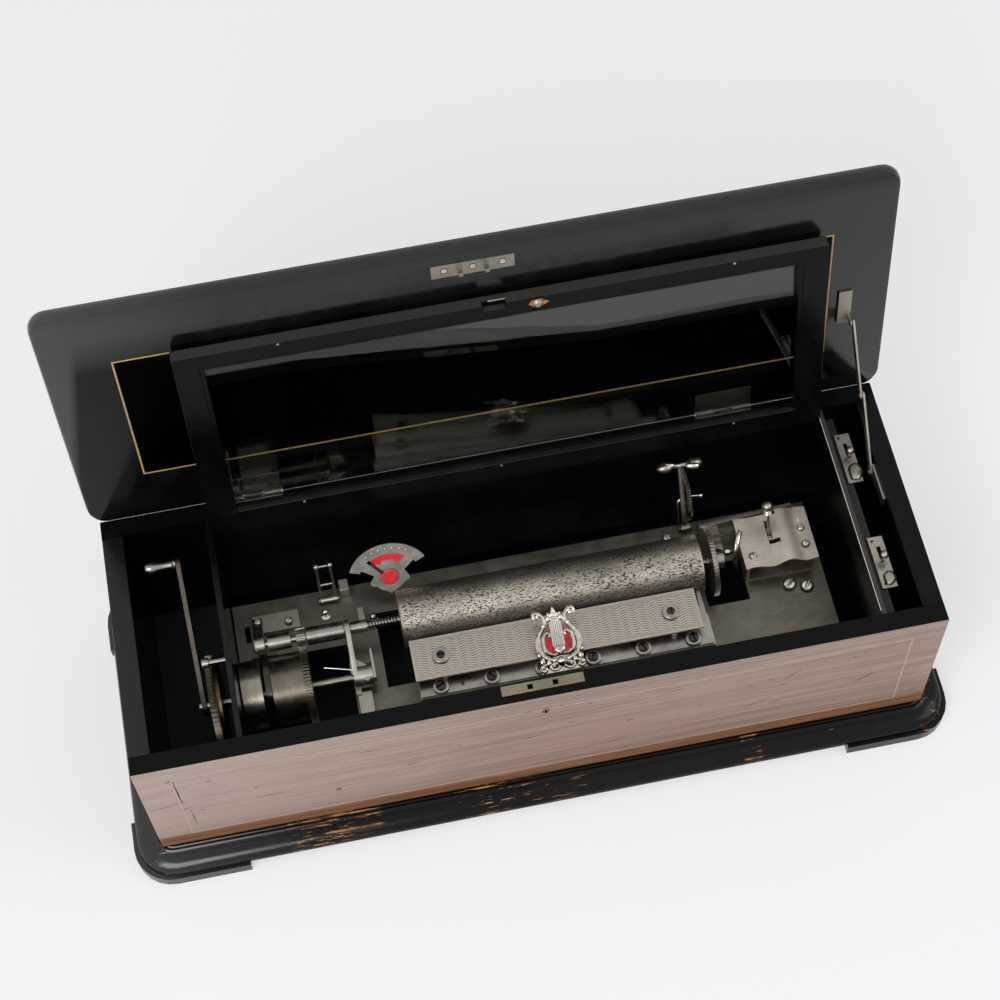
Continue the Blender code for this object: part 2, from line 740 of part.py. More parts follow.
def case():
    left = LEFT_PARTITION_X + PARTITION + SEAM
    right = RIGHT_PARTITION_X - SEAM
    rail = box((left, -INNER_Y - LAP, FLOOR_TOP + SEAM), (right, BED_FRONT + RAIL_DEPTH / 2,
                                                          BED_FOOT - SEAM))
    piece("case_front", "rosewood", box((-HALF_WIDTH, -HALF_DEPTH, WALL_FOOT),
                                        (HALF_WIDTH, -INNER_Y, CASE_TOP)), add=[rail],
          cut=lock_recess() + keyhole())
    step_y = BED_BACK + BACK_LEDGE_GAP
    ledge = ((INNER_Y + LAP, FLOOR_TOP + SEAM), (INNER_Y + LAP, BED_TOP + BACK_LEDGE_RISE),
             (step_y, BED_TOP + BACK_LEDGE_RISE), (step_y, BED_FOOT - SEAM),
             (BED_BACK - RAIL_DEPTH, BED_FOOT - SEAM), (BED_BACK - RAIL_DEPTH, FLOOR_TOP + SEAM))
    hinge_cuts = [shape for x in hinge_places() for shape in case_hinge_recess(x)]
    piece("case_back", "ebonised wood", box((-HALF_WIDTH, INNER_Y, WALL_FOOT),
                                            (HALF_WIDTH, HALF_DEPTH, CASE_TOP)),
          add=[prism("x", ledge, left, right)], cut=hinge_cuts)
    for side, name in ((-1, "case_side_left"), (1, "case_side_right")):
        low = min(side * HALF_WIDTH, side * INNER_X)
        high = max(side * HALF_WIDTH, side * INNER_X)
        piece(name, "ebonised wood", box((low, -INNER_Y + SEAM, WALL_FOOT),
                                         (high, INNER_Y - SEAM, CASE_TOP)))
    piece("bottom_board", "plain wood", box((-INNER_X + SEAM, -INNER_Y + SEAM, WALL_FOOT),
                                            (INNER_X - SEAM, INNER_Y - SEAM, FLOOR_TOP)))
    plinth()
    partitions()


def plinth():
    """Moulded frame under the case, on four corner feet."""
    profile_shares = ((0.92, 0.373), (1.0, 0.46), (1.0, 0.59), (0.945, 0.715), (0.81, 0.815),
                      (0.60, 0.886), (0.36, 0.91), (0.27, 0.926), (0.21, 0.965), (0.15, 0.965),
                      (0.10, 0.91), (0.05, 0.93), (0.04, 1.0))    # bullnose, bead and quirk
    rings = []
    for out_share, up_share in profile_shares:
        out = MOULDING_OVERHANG * out_share
        rings.append(plinth_ring(out, PLINTH_HEIGHT * up_share))
    for height in (PLINTH_HEIGHT, PLINTH_HEIGHT * profile_shares[0][1]):
        rings.append(plinth_ring(-PLINTH_RIM, height))
    feet = []
    for side_x in (-1, 1):
        for side_y in (-1, 1):
            feet.append(prism("z", foot_outline(side_x, side_y), 0.0, FOOT_HEIGHT + LAP + OVERRUN))
    piece("plinth", "ebonised wood", loft(rings, closed=True), add=[together(*feet)])


def plinth_ring(out, height):
    radius = max(PLINTH_CORNER - MOULDING_OVERHANG + out, LAP)
    outline = rounded_rectangle(-HALF_WIDTH - out, HALF_WIDTH + out, -HALF_DEPTH - out, HALF_DEPTH + out,
                                radius)
    return [(x, y, height) for x, y in outline]


def foot_outline(side_x, side_y):
    """A block with the plinth's round corner outside."""
    corner_x = HALF_WIDTH + FOOT_OVERHANG - PLINTH_CORNER
    corner_y = HALF_DEPTH + FOOT_OVERHANG - PLINTH_CORNER
    inner_x = HALF_WIDTH + FOOT_OVERHANG - FOOT_LENGTH
    inner_y = HALF_DEPTH + FOOT_OVERHANG - FOOT_DEPTH
    points = [(inner_x, inner_y)]
    points.append((corner_x + PLINTH_CORNER, inner_y))
    for i in range(7):
        points.append(toward((corner_x, corner_y), PLINTH_CORNER, math.pi / 2 * i / 6))
    points.append((inner_x, corner_y + PLINTH_CORNER))
    return [(side_x * x, side_y * y) for x, y in points]


def partitions():
    hole_x = (LEFT_PARTITION_X - OVERRUN, LEFT_PARTITION_X + PARTITION + OVERRUN)
    rod_hole = rod((hole_x[0], *BARREL_CENTRE), (hole_x[1], *BARREL_CENTRE), WINDING_ROD + RUNNING_GAP)
    pawl_hole = rod((hole_x[0], *pawl_hub()), (hole_x[1], *pawl_hub()), PAWL_PIN + RUNNING_GAP)
    piece("partition_left", "ebonised wood",
          box((LEFT_PARTITION_X, -INNER_Y + SEAM, FLOOR_TOP + SEAM),
              (LEFT_PARTITION_X + PARTITION, INNER_Y - SEAM, PARTITION_TOP)), cut=[rod_hole, pawl_hole])
    x = RIGHT_PARTITION_X
    ledge_x = x + PARTITION
    shelf_x = ledge_x + CONTROL_LEDGE_WIDTH
    shelf_low = LEDGE_TOP - CONTROL_LEDGE_THICK
    foot = FLOOR_TOP + SEAM
    outline = ((x, foot), (x, PARTITION_TOP), (ledge_x, PARTITION_TOP), (ledge_x, LEDGE_TOP),
               (shelf_x, LEDGE_TOP), (shelf_x, shelf_low), (ledge_x, shelf_low), (ledge_x, foot))
    piece("partition_right", "ebonised wood", prism("y", outline, -INNER_Y + SEAM, INNER_Y - SEAM))


# Lid, its hinges and its lock

def hinge_places():
    return (-HINGE_SPAN / 2, HINGE_SPAN / 2)


def case_hinge_recess(x):
    half = HINGE_LENGTH / 2 + SEAM
    deep = HINGE_KNUCKLE + SEAM
    knuckle = box((x - half, LID_AXIS_Y - deep, LID_AXIS_Z - deep), (x + half, HALF_DEPTH + OVERRUN,
                                                                     CASE_TOP + OVERRUN))
    leaf = box((x - half, LID_AXIS_Y - CASE_LEAF_DEPTH - SEAM, CASE_TOP - HINGE_LEAF - SEAM),
               (x + half, LID_AXIS_Y, CASE_TOP + OVERRUN))
    return knuckle, leaf


def lid_hinge_recess(x):
    half = HINGE_LENGTH / 2 + SEAM
    deep = HINGE_KNUCKLE + SEAM
    knuckle = box((x - half, -deep, -OVERRUN), (x + half, OVERRUN, deep))
    leaf = box((x - half, -LID_LEAF_DEPTH - SEAM, -OVERRUN), (x + half, 0.0, HINGE_LEAF + SEAM))
    return knuckle, leaf


def lid(axis):
    """Built shut, round the hinge axis: the underside is at zero and the front is at -Y."""
    half = HALF_WIDTH + LID_SIDE_OVERHANG
    rings = []
    for inset, height in LID_EDGE:
        behind = inset if height > LID_THICK / 2 else 0.0    # square below, to meet the case at the hinge
        outline = rounded_rectangle(-half + inset, half - inset, -LID_LENGTH + inset, -behind,
                                    LID_CORNER - inset)
        rings.append([(x, y, height) for x, y in outline])
    cuts = [shape for x in hinge_places() for shape in lid_hinge_recess(x)]
    side = STRIKER_LENGTH / 2 + SEAM
    reach = STRIKER_DEPTH / 2 + SEAM
    cuts.append(box((-side, LOCK_Y - LID_AXIS_Y - reach, -OVERRUN), (side, LOCK_Y - LID_AXIS_Y + reach,
                                                                     STRIKER_THICK + SEAM)))
    piece("lid_panel", "ebonised wood", loft(rings), cut=cuts, parent=axis)
    for x, name in zip(hinge_places(), ("left", "right")):
        lid_leaf(x, name, axis)
        case_leaf(x, name)
    striker(axis)


def lid_leaf(x, side, axis):
    third = HINGE_LENGTH / 6 - SEAM
    half = HINGE_LENGTH / 2
    clear = HINGE_KNUCKLE + SEAM
    plate = box((x - half, -LID_LEAF_DEPTH, 0.0), (x + half, -clear, HINGE_LEAF))
    tongue = box((x - third, -clear - LAP, 0.0), (x + third, 0.0, HINGE_LEAF))
    knuckle = rod((x - third - LAP / 4, 0.0, 0.0), (x + third + LAP / 4, 0.0, 0.0), HINGE_KNUCKLE)
    bore = rod((x - half, 0.0, 0.0), (x + half, 0.0, 0.0), HINGE_PIN + RUNNING_GAP)
    piece(f"lid_hinge_leaf_{side}", "nickel", plate, add=[tongue, knuckle], cut=[bore], parent=axis)


def case_leaf(x, side):
    third = HINGE_LENGTH / 6 + LAP
    half = HINGE_LENGTH / 2
    at_axis = (LID_AXIS_Y, LID_AXIS_Z)
    plate = box((x - half, LID_AXIS_Y - CASE_LEAF_DEPTH, CASE_TOP - HINGE_LEAF),
                (x + half, LID_AXIS_Y - HINGE_KNUCKLE - SEAM, CASE_TOP))
    tongues, knuckles = [], []
    for low, high in ((x - half, x - third), (x + third, x + half)):
        tongues.append(box((low + LAP, LID_AXIS_Y - HINGE_KNUCKLE - SEAM - LAP, CASE_TOP - HINGE_LEAF),
                           (high - LAP, LID_AXIS_Y, CASE_TOP)))
        knuckles.append(rod((low, *at_axis), (high, *at_axis), HINGE_KNUCKLE))
    pin = rod((x - half + LAP, *at_axis), (x + half - LAP, *at_axis), HINGE_PIN)
    piece(f"case_hinge_leaf_{side}", "nickel", plate, add=[together(*tongues), together(*knuckles), pin])


def link_places():
    return (-LOCK_HOLE_SPACING / 2, LOCK_HOLE_SPACING / 2)


def striker(axis):
    """Plate let into the lid, with two links that drop through the lock plate."""
    y = LOCK_Y - LID_AXIS_Y
    plate = box((-STRIKER_LENGTH / 2, y - STRIKER_DEPTH / 2, 0.0),
                (STRIKER_LENGTH / 2, y + STRIKER_DEPTH / 2, STRIKER_THICK))
    half = LINK_HALF
    loop = BOLT_WIDTH / 2 + RUNNING_GAP
    foot = -STRIKER_TAB + LINK_FOOT
    links = [box((x - half, y - half, -STRIKER_TAB), (x + half, y + half, LAP)) for x in link_places()]
    holes = [box((x - half - OVERRUN, y - loop, foot), (x + half + OVERRUN, y + loop, foot + LINK_LOOP))
             for x in link_places()]
    piece("striker_plate", "nickel", plate, add=[together(*links)], cut=[together(*holes)], parent=axis)


def lock_recess():
    """Room in the front wall for the lock plate, with the pocket of the bolt below it."""
    half = LOCK_LENGTH / 2 + SEAM
    seat = box((-half, -INNER_Y - LOCK_DEPTH - SEAM, CASE_TOP - LOCK_THICK - SEAM),
               (half, -INNER_Y + OVERRUN, CASE_TOP + OVERRUN))
    ledge = LOCK_DEPTH / 2 - LOCK_LEDGE
    pocket = box((-half + 3 * LOCK_LEDGE, LOCK_Y - ledge, CASE_TOP - LOCK_POCKET_DEEP),
                 (half - 3 * LOCK_LEDGE, LOCK_Y + ledge, CASE_TOP + OVERRUN))
    return seat, pocket


def keyhole():
    """The key's way into the front: a round hole over a slot."""
    top = CASE_TOP - KEYHOLE_DROP
    front, back = -HALF_DEPTH - OVERRUN, -HALF_DEPTH + KEYHOLE_DEEP
    half = KEYHOLE_WIDTH / 2
    slot = box((-half, front, top - KEYHOLE_LENGTH), (half, back - SEAM, top))
    return rod((0.0, front, top), (0.0, back, top), KEYHOLE_RADIUS), slot


def lock():
    plate = box((-LOCK_LENGTH / 2, LOCK_Y - LOCK_DEPTH / 2, CASE_TOP - LOCK_THICK),
                (LOCK_LENGTH / 2, LOCK_Y + LOCK_DEPTH / 2, CASE_TOP))
    half = LOCK_HOLE / 2
    holes = [box((x - half, LOCK_Y - half, CASE_TOP - LOCK_THICK - OVERRUN),
                 (x + half, LOCK_Y + half, CASE_TOP + OVERRUN)) for x in link_places()]
    piece("lock_plate", "nickel", plate, cut=[together(*holes)])
    side = BOLT_WIDTH / 2
    foot = CASE_TOP - LOCK_POCKET_DEEP + SEAM
    nose_z = LID_AXIS_Z - STRIKER_TAB + LINK_FOOT + LINK_LOOP / 2
    left, right = (x - LINK_HALF - LAP - BOLT_TRAVEL for x in link_places())
    bar = box((left - BOLT_POST, LOCK_Y - side, foot), (right, LOCK_Y + side, foot + BOLT_BAR))
    posts, noses = [], []
    for x in (left, right):
        posts.append(box((x - BOLT_POST + LAP, LOCK_Y - side + SEAM, foot + LAP),
                         (x - LAP, LOCK_Y + side - SEAM, nose_z + BOLT_NOSE_RISE / 2)))
        noses.append(box((x - BOLT_POST / 2, LOCK_Y - side + SEAM / 2, nose_z - BOLT_NOSE_RISE / 2),
                         (x + BOLT_NOSE, LOCK_Y + side - SEAM / 2,
                          nose_z + BOLT_NOSE_RISE / 2 - SEAM / 2)))
    piece("lock_bolt", "steel", bar, add=[together(*posts), together(*noses)], pivot=(0.0, LOCK_Y, foot))


# Glass lid

def glass_lid(axis):
    """Built shut, round its own hinge axis: the top is at zero and the front is at -Y."""
    back = -GLASS_KNUCKLE - SEAM
    front = -GLASS_LENGTH
    frame = box((GLASS_LEFT, front, -GLASS_FRAME_THICK), (GLASS_RIGHT, back, 0.0))
    low_x = GLASS_LEFT + GLASS_FRAME_RAIL
    high_x = GLASS_RIGHT - GLASS_FRAME_RAIL
    low_y = front + GLASS_FRONT_RAIL
    high_y = back - GLASS_BACK_RAIL
    view = box((low_x, low_y, -GLASS_FRAME_THICK - OVERRUN), (high_x, high_y, OVERRUN))
    rebate = box((low_x - GLASS_REBATE, low_y - GLASS_REBATE, -2 * GLASS_PANE_THICK),
                 (high_x + GLASS_REBATE, high_y + GLASS_REBATE, OVERRUN))
    notch = box((CATCH_X, front - OVERRUN, -GLASS_FRAME_THICK - OVERRUN),
                (CATCH_X + CATCH_LENGTH, front + CATCH_DEPTH, -GLASS_FRAME_THICK / 2))
    piece("glass_frame", "ebonised wood", frame, cut=[view, rebate, notch], parent=axis)
    edge = GLASS_REBATE - SEAM
    piece("glass_pane", "glass", box((low_x - edge, low_y - edge, -2 * GLASS_PANE_THICK + SEAM),
                                     (high_x + edge, high_y + edge, -GLASS_PANE_THICK)), parent=axis)
    knob_low = -GLASS_FRAME_THICK - SEAM
    profile = ((knob_low, GLASS_KNOB / 2), (knob_low - GLASS_KNOB_HEIGHT / 3, GLASS_KNOB / 2),
               (knob_low - GLASS_KNOB_HEIGHT / 2, GLASS_KNOB), (knob_low - GLASS_KNOB_HEIGHT,
                                                                GLASS_KNOB / 2))
    piece("glass_stud", "nickel", turned("z", (GLASS_KNOB_X, front + CATCH_DEPTH), profile, SMALL),
          parent=axis)
    for x, side in ((GLASS_LEFT + GLASS_HINGE_INSET, "left"), (GLASS_RIGHT - GLASS_HINGE_INSET,
                                                               "right")):
        glass_hinge(x, side, axis)


def glass_hinge(x, side, axis):
    half = GLASS_HINGE_LENGTH / 2
    third = GLASS_HINGE_LENGTH / 6
    clear = GLASS_KNUCKLE + SEAM
    plate = box((x - half, -GLASS_KNUCKLE, -GLASS_LEAF_DEPTH), (x + half, -GLASS_KNUCKLE + GLASS_LEAF,
                                                                -clear))
    tongue = box((x - third + 2 * LAP, -GLASS_KNUCKLE, -clear - LAP),
                 (x + third - 2 * LAP, -GLASS_KNUCKLE + GLASS_LEAF, 0.0))
    knuckle = rod((x - third + LAP, 0.0, 0.0), (x + third - LAP, 0.0, 0.0), GLASS_KNUCKLE)
    bore = rod((x - half, 0.0, 0.0), (x + half, 0.0, 0.0), HINGE_PIN + RUNNING_GAP)
    piece(f"glass_hinge_leaf_{side}", "nickel", plate, add=[tongue, knuckle], cut=[bore], parent=axis)
    wall = GLASS_AXIS_Y + GLASS_KNUCKLE
    at_axis = (GLASS_AXIS_Y, GLASS_AXIS_Z)
    leaf = box((x - half, wall - GLASS_LEAF, GLASS_AXIS_Z - GLASS_LEAF_DEPTH),
               (x + half, wall, GLASS_AXIS_Z - clear))
    tongues, knuckles = [], []
    for low, high in ((x - half, x - third), (x + third, x + half)):
        tongues.append(box((low + LAP, wall - GLASS_LEAF, GLASS_AXIS_Z - clear - LAP),
                           (high - LAP, wall, GLASS_AXIS_Z)))
        knuckles.append(rod((low, *at_axis), (high, *at_axis), GLASS_KNUCKLE))
    pin = rod((x - half + LAP, *at_axis), (x + half - LAP, *at_axis), HINGE_PIN)
    piece(f"glass_wall_leaf_{side}", "nickel", leaf, add=[together(*tongues), together(*knuckles), pin])


# Folding stay

def stay():
    """The arms lie side by side. Their middle pivot is left open, so each is driven by the lid."""
    plate_x = INNER_X - SEAM - STAY_PLATE
    lower_x = plate_x - STAY_LANE_GAP - STAY_STRIP
    upper_x = lower_x - STAY_LANE_GAP - STAY_STRIP
    ear_x = upper_x - STAY_LANE_GAP - STAY_EAR
    foot = (STAY_PIVOT_Y, CASE_TOP - STAY_PIVOT_DROP)
    top = open_lid_point(-STAY_LID_REACH, -STAY_LID_STANDOFF)
    length = math.dist(foot, top)
    elbow = toward(foot, length * (1 - STAY_UPPER_SHARE), direction(foot, top))
    hole = STAY_PIN + RUNNING_GAP
    piece("stay_lower_arm", "nickel", prism("x", capsule(foot, elbow, STAY_EYE, STAY_EYE), lower_x,
                                            lower_x + STAY_STRIP),
          cut=[rod((lower_x - OVERRUN, *foot), (lower_x + STAY_STRIP + OVERRUN, *foot), hole)],
          pivot=(lower_x, *foot))
    rivet = rod((upper_x - STAY_LANE_GAP, *elbow), (upper_x + LAP, *elbow), STAY_HEAD)
    piece("stay_upper_arm", "nickel", prism("x", capsule(top, elbow, STAY_EYE, STAY_EYE), upper_x,
                                            upper_x + STAY_STRIP), add=[rivet],
          cut=[rod((upper_x - OVERRUN, *top), (upper_x + STAY_STRIP + OVERRUN, *top), hole)],
          pivot=(upper_x, *top))
    plate = box((plate_x, foot[0] - STAY_PLATE_FRONT, foot[1] - STAY_PLATE_HEIGHT / 2),
                (plate_x + STAY_PLATE, foot[0] + STAY_EYE, foot[1] + STAY_PLATE_HEIGHT / 2))
    head_x = lower_x - RUNNING_GAP
    pin = rod((head_x - LAP, *foot), (plate_x + LAP, *foot), STAY_PIN)
    head = rod((head_x - STAY_STRIP / 2, *foot), (head_x, *foot), STAY_HEAD)
    piece("stay_case_bracket", "nickel", plate, add=[pin, head])
    lid_bracket(ear_x, upper_x)


def lid_bracket(ear_x, upper_x):
    y, z = -STAY_LID_REACH, -STAY_LID_STANDOFF
    foot_plate = box((ear_x - STAY_FOOT_WIDTH, y - STAY_FOOT_LENGTH + STAY_EYE, -SEAM - STAY_FOOT),
                     (ear_x + STAY_EAR, y + STAY_EYE, -SEAM))
    ear = box((ear_x, y - STAY_EYE, z), (ear_x + STAY_EAR - SEAM / 2, y + STAY_EYE - SEAM / 2,
                                         -SEAM - LAP))
    eye = rod((ear_x + SEAM / 2, y, z), (ear_x + STAY_EAR - SEAM, y, z), STAY_EYE)
    pin = rod((ear_x + LAP, y, z), (upper_x + STAY_STRIP, y, z), STAY_PIN)
    piece("stay_lid_bracket", "nickel", foot_plate, add=[ear, eye, pin], parent=lid_axis)


def open_lid_point(y, z):
    """World place of a point of the closed lid once the lid stands open."""
    turn = (math.cos(LID_OPEN), math.sin(LID_OPEN))
    return (LID_AXIS_Y + y * turn[0] + z * turn[1], LID_AXIS_Z - y * turn[1] + z * turn[0])


# Bedplate and brackets

def clevis(x, y, z, width, foot):
    """Two ears and the pin between them, which hold the hub of a small lever."""
    ear = CLEVIS_EAR
    sides = []
    for low in (x - width / 2 - SEAM - ear, x + width / 2 + SEAM):
        sides.append(box((low, y - CLEVIS_RADIUS, min(foot, z)), (low + ear, y + CLEVIS_RADIUS,
                                                                  max(foot, z))))
        sides.append(turned("x", (y, z), ((low + SEAM / 2, CLEVIS_RADIUS - SEAM / 2),
                                          (low + ear - SEAM / 2, CLEVIS_RADIUS - SEAM / 2)), SMALL))
    pin = rod((x - width / 2 - SEAM - ear / 2, y, z), (x + width / 2 + SEAM + ear / 2, y, z), CLEVIS_PIN)
    return [together(sides[0], sides[2]), together(sides[1], sides[3]), pin]


def bedplate():
    plate = box((BED_LEFT, BED_FRONT, BED_FOOT), (BED_RIGHT, BED_BACK, BED_TOP))
    low = BED_FOOT - OVERRUN
    high = BED_TOP + OVERRUN
    cuts = [box((BED_LEFT - OVERRUN, BARREL_AXIS_Y - WHEEL_ROOM, low),
                (STAND_LEFT - SIDE_PLAY, BARREL_AXIS_Y + WHEEL_ROOM, high)),
            box((BED_LEFT + UNDER_CYLINDER_START, COMB_BASE_BACK, low), (CYLINDER_END - BRACKET_THICK,
                                                                         UNDER_CYLINDER_BACK, high)),
            box((GEAR_X - GEAR_THICK, GEAR_CUT_FRONT, low), (GOVERNOR_X, GEAR_CUT_BACK, high)),
            box((BED_LEFT + LEFT_SLOT_START, LEFT_SLOT_FRONT, low),
                (BED_LEFT + LEFT_SLOT_START + LEFT_SLOT_WIDTH, LEFT_SLOT_BACK, high))]
    strip = BARREL_AXIS_Y - WHEEL_ROOM - BED_FRONT
    places = [(BED_RIGHT - inset, y) for inset, y in RIGHT_SCREWS]
    places.append((CYLINDER_END - BACK_SCREW_FROM_CYLINDER_END, BACK_SCREW_Y))
    places.append((BED_LEFT + CORNER_SCREW_X, BED_FRONT + strip * CORNER_SCREW_SHARE))
    big, big_slots = screw_heads(places, BED_TOP, BED_SCREW)
    ears = clevis(*CHANGE_AT, CHANGE_HUB_WIDTH, BED_TOP - LAP)
    more_ears = clevis(*REPEAT_AT, REPEAT_WIDTH, BED_TOP - LAP)
    piece("bedplate", "nickel", plate, add=[big] + ears + more_ears, cut=cuts + [big_slots])


def bearing_arm(x, thick, centre, radius, foot, foot_radius):
    return prism("x", capsule(foot, centre, foot_radius, radius), x, x + thick)


def foot_plate(x_from, x_to, y_from, y_to):
    return box((x_from, y_from, ON_BED), (x_to, y_to, ON_BED + CRADLE_FOOT_THICK))


def brackets():
    rod_hole = WINDING_ROD + RUNNING_GAP
    bracket_x = BARREL_X - BARREL_BRACKET_GAP - BARREL_BRACKET_THICK
    foot_y = BARREL_AXIS_Y + WHEEL_ROOM + SIDE_PLAY
    arm = bearing_arm(bracket_x, BARREL_BRACKET_THICK, BARREL_CENTRE, rod_hole + BEARING_WALL,
                      (foot_y + BARREL_FOOT_DEPTH / 2, ON_BED + BARREL_ARM + SEAM), BARREL_ARM)
    side = (BARREL_BRACKET_WIDTH - BARREL_BRACKET_THICK) / 2
    piece("barrel_bracket", "nickel", arm,
          add=[box((bracket_x - side, foot_y, ON_BED), (bracket_x + BARREL_BRACKET_THICK + side,
                                                        foot_y + BARREL_FOOT_DEPTH,
                                                        ON_BED + CRADLE_FOOT_THICK))],
          cut=[rod((bracket_x - OVERRUN, *BARREL_CENTRE), (bracket_x + BARREL_BRACKET_THICK + OVERRUN,
                                                           *BARREL_CENTRE), rod_hole)])

    arbor_hole = ARBOR_ROD + RUNNING_GAP
    x = BED_LEFT + LEFT_BRACKET_START
    arm = bearing_arm(x, BRACKET_THICK, ARBOR_CENTRE, BEARING_HEAD, (CRADLE_FOOT_Y - SIDE_PLAY,
                                                                     ON_BED + BARREL_ARM + SEAM),
                      BARREL_ARM)
    low_y = CRADLE_FOOT_Y - CRADLE_FOOT_DEPTH / 2
    foot = foot_plate(x - SEAM, x + CRADLE_FOOT_LENGTH, low_y, low_y + CRADLE_FOOT_DEPTH)
    heads, slots = screw_heads([(x + CRADLE_FOOT_LENGTH - SCREW_HEAD * 2, CRADLE_FOOT_Y)],
                               ON_BED + CRADLE_FOOT_THICK)
    piece("arbor_bracket_left", "nickel", arm, add=[foot, heads],
          cut=[slots, rod((x - OVERRUN, *ARBOR_CENTRE), (x + BRACKET_THICK + OVERRUN, *ARBOR_CENTRE),
                          arbor_hole)])

    x = STAND_LEFT
    plate = bearing_arm(x, STAND_THICK, ARBOR_CENTRE, BEARING_HEAD, BARREL_CENTRE, BOSS_RADIUS - LAP)
    base = box((x - SEAM, BARREL_AXIS_Y - STAND_FRONT, ON_BED),
               (x + STAND_THICK + SEAM, ARBOR_AXIS_Y + STAND_BACK, ON_BED + 2 * CRADLE_FOOT_THICK))
    boss = turned("x", BARREL_CENTRE, ((x + LAP, BOSS_RADIUS), (x + BOSS_LENGTH, BOSS_RADIUS)))
    pin = rod((x + BOSS_LENGTH - LAP, *DETENT_CENTRE), (x + BOSS_LENGTH + DETENT_THICK, *DETENT_CENTRE),
              DETENT_PIN)
    piece("arbor_bracket_mid", "nickel", plate, add=[base, boss, pin],
          cut=[rod((x - OVERRUN, *ARBOR_CENTRE), (x + STAND_THICK + OVERRUN, *ARBOR_CENTRE),
                   SLEEVE_ROD + RUNNING_GAP), rod((x - OVERRUN, *BARREL_CENTRE),
                                                  (x + BOSS_LENGTH + OVERRUN, *BARREL_CENTRE),
                                                  rod_hole)])

    x = RIGHT_BRACKET_X
    arm = bearing_arm(x, RIGHT_BRACKET_THICK, ARBOR_CENTRE, BEARING_HEAD,
                      (GEAR_CUT_BACK + BARREL_ARM + LAP, ON_BED + BARREL_ARM + SEAM), BARREL_ARM)
    foot = foot_plate(x - SEAM, x + RIGHT_BRACKET_POST, GEAR_CUT_BACK + LAP, RIGHT_BRACKET_BACK)
    heads, slots = screw_heads([(x + RIGHT_BRACKET_POST / 2, RIGHT_BRACKET_BACK - SCREW_HEAD * 2)],
                               ON_BED + CRADLE_FOOT_THICK)
    piece("arbor_bracket_right", "nickel", arm, add=[foot, heads],
          cut=[slots, rod((x - OVERRUN, *ARBOR_CENTRE), (x + RIGHT_BRACKET_THICK + OVERRUN,
                                                         *ARBOR_CENTRE), arbor_hole)])


# Spring barrel and winding work

def gear(x_from, x_to, centre, teeth, pitch, phase):
    return prism("x", gear_outline(centre, teeth, pitch, phase), x_from, x_to)


def barrel():
    to_arbor = direction(BARREL_CENTRE, ARBOR_CENTRE)
    rod_hole = WINDING_ROD + RUNNING_GAP
    inner = BARREL_RADIUS - BARREL_SHELL
    wall = BARREL_X + BARREL_SHELL
    end = WHEEL_X + LAP
    shell = turned("x", BARREL_CENTRE, ((BARREL_X, rod_hole), (BARREL_X, BARREL_RADIUS),
                                        (end, BARREL_RADIUS), (end, inner), (wall, inner),
                                        (wall, rod_hole)), closed=True)
    wheel = gear(WHEEL_X, WHEEL_X + GREAT_WHEEL_THICK, BARREL_CENTRE, GREAT_WHEEL_TEETH,
                 GREAT_WHEEL_PITCH, to_arbor)
    hole = rod((WHEEL_X - OVERRUN, *BARREL_CENTRE), (WHEEL_X + GREAT_WHEEL_THICK + OVERRUN,
                                                     *BARREL_CENTRE), rod_hole, ROUND)
    piece("spring_barrel", "nickel", shell, add=[wheel], cut=[hole], pivot=(BARREL_X, *BARREL_CENTRE))

    first = SPRING_CORE + SIDE_PLAY
    last = inner - SPRING_STRIP - SIDE_PLAY
    steps = SPRING_TURNS * MEDIUM
    inside, outside = [], []
    for i in range(steps + 1):
        angle = 2 * math.pi * i / MEDIUM
        radius = first + (last - first) * i / steps
        inside.append(toward(BARREL_CENTRE, radius, angle))
        outside.append(toward(BARREL_CENTRE, radius + SPRING_STRIP, angle))
    piece("mainspring", "spring steel", prism("x", inside + outside[::-1], wall + SIDE_PLAY,
                                              WHEEL_X - SIDE_PLAY), pivot=(wall, *BARREL_CENTRE))


def winding_arbor():
    drum_end = BARREL_X - 2 * BARREL_BRACKET_GAP - BARREL_BRACKET_THICK
    drum = drum_end - WINDING_DRUM_LENGTH
    core = BARREL_X + BARREL_SHELL + SIDE_PLAY
    profile = ((LEFT_PARTITION_X - WINDING_ROD_OUT, WINDING_ROD - LAP),
               (LEFT_PARTITION_X - WINDING_ROD_OUT + LAP, WINDING_ROD), (drum, WINDING_ROD),
               (drum, WINDING_DRUM_RADIUS), (drum_end, WINDING_DRUM_RADIUS), (drum_end, WINDING_ROD),
               (core, WINDING_ROD), (core, SPRING_CORE), (WHEEL_X - SIDE_PLAY, SPRING_CORE),
               (WHEEL_X - SIDE_PLAY, WINDING_ROD), (STAND_LEFT + BOSS_LENGTH - SIDE_PLAY, WINDING_ROD))
    piece("winding_arbor", "nickel", turned("x", BARREL_CENTRE, profile), pivot=(drum, *BARREL_CENTRE))


def ratchet_outline():
    points = []
    for tooth in range(RATCHET_TEETH):
        angle = PAWL_CONTACT + 2 * math.pi * tooth / RATCHET_TEETH
        points.append(toward(BARREL_CENTRE, RATCHET_TIP,
                             angle - 2 * math.pi * RATCHET_TIP_SHARE / RATCHET_TEETH))
        points.append(toward(BARREL_CENTRE, RATCHET_ROOT, angle))
    return points


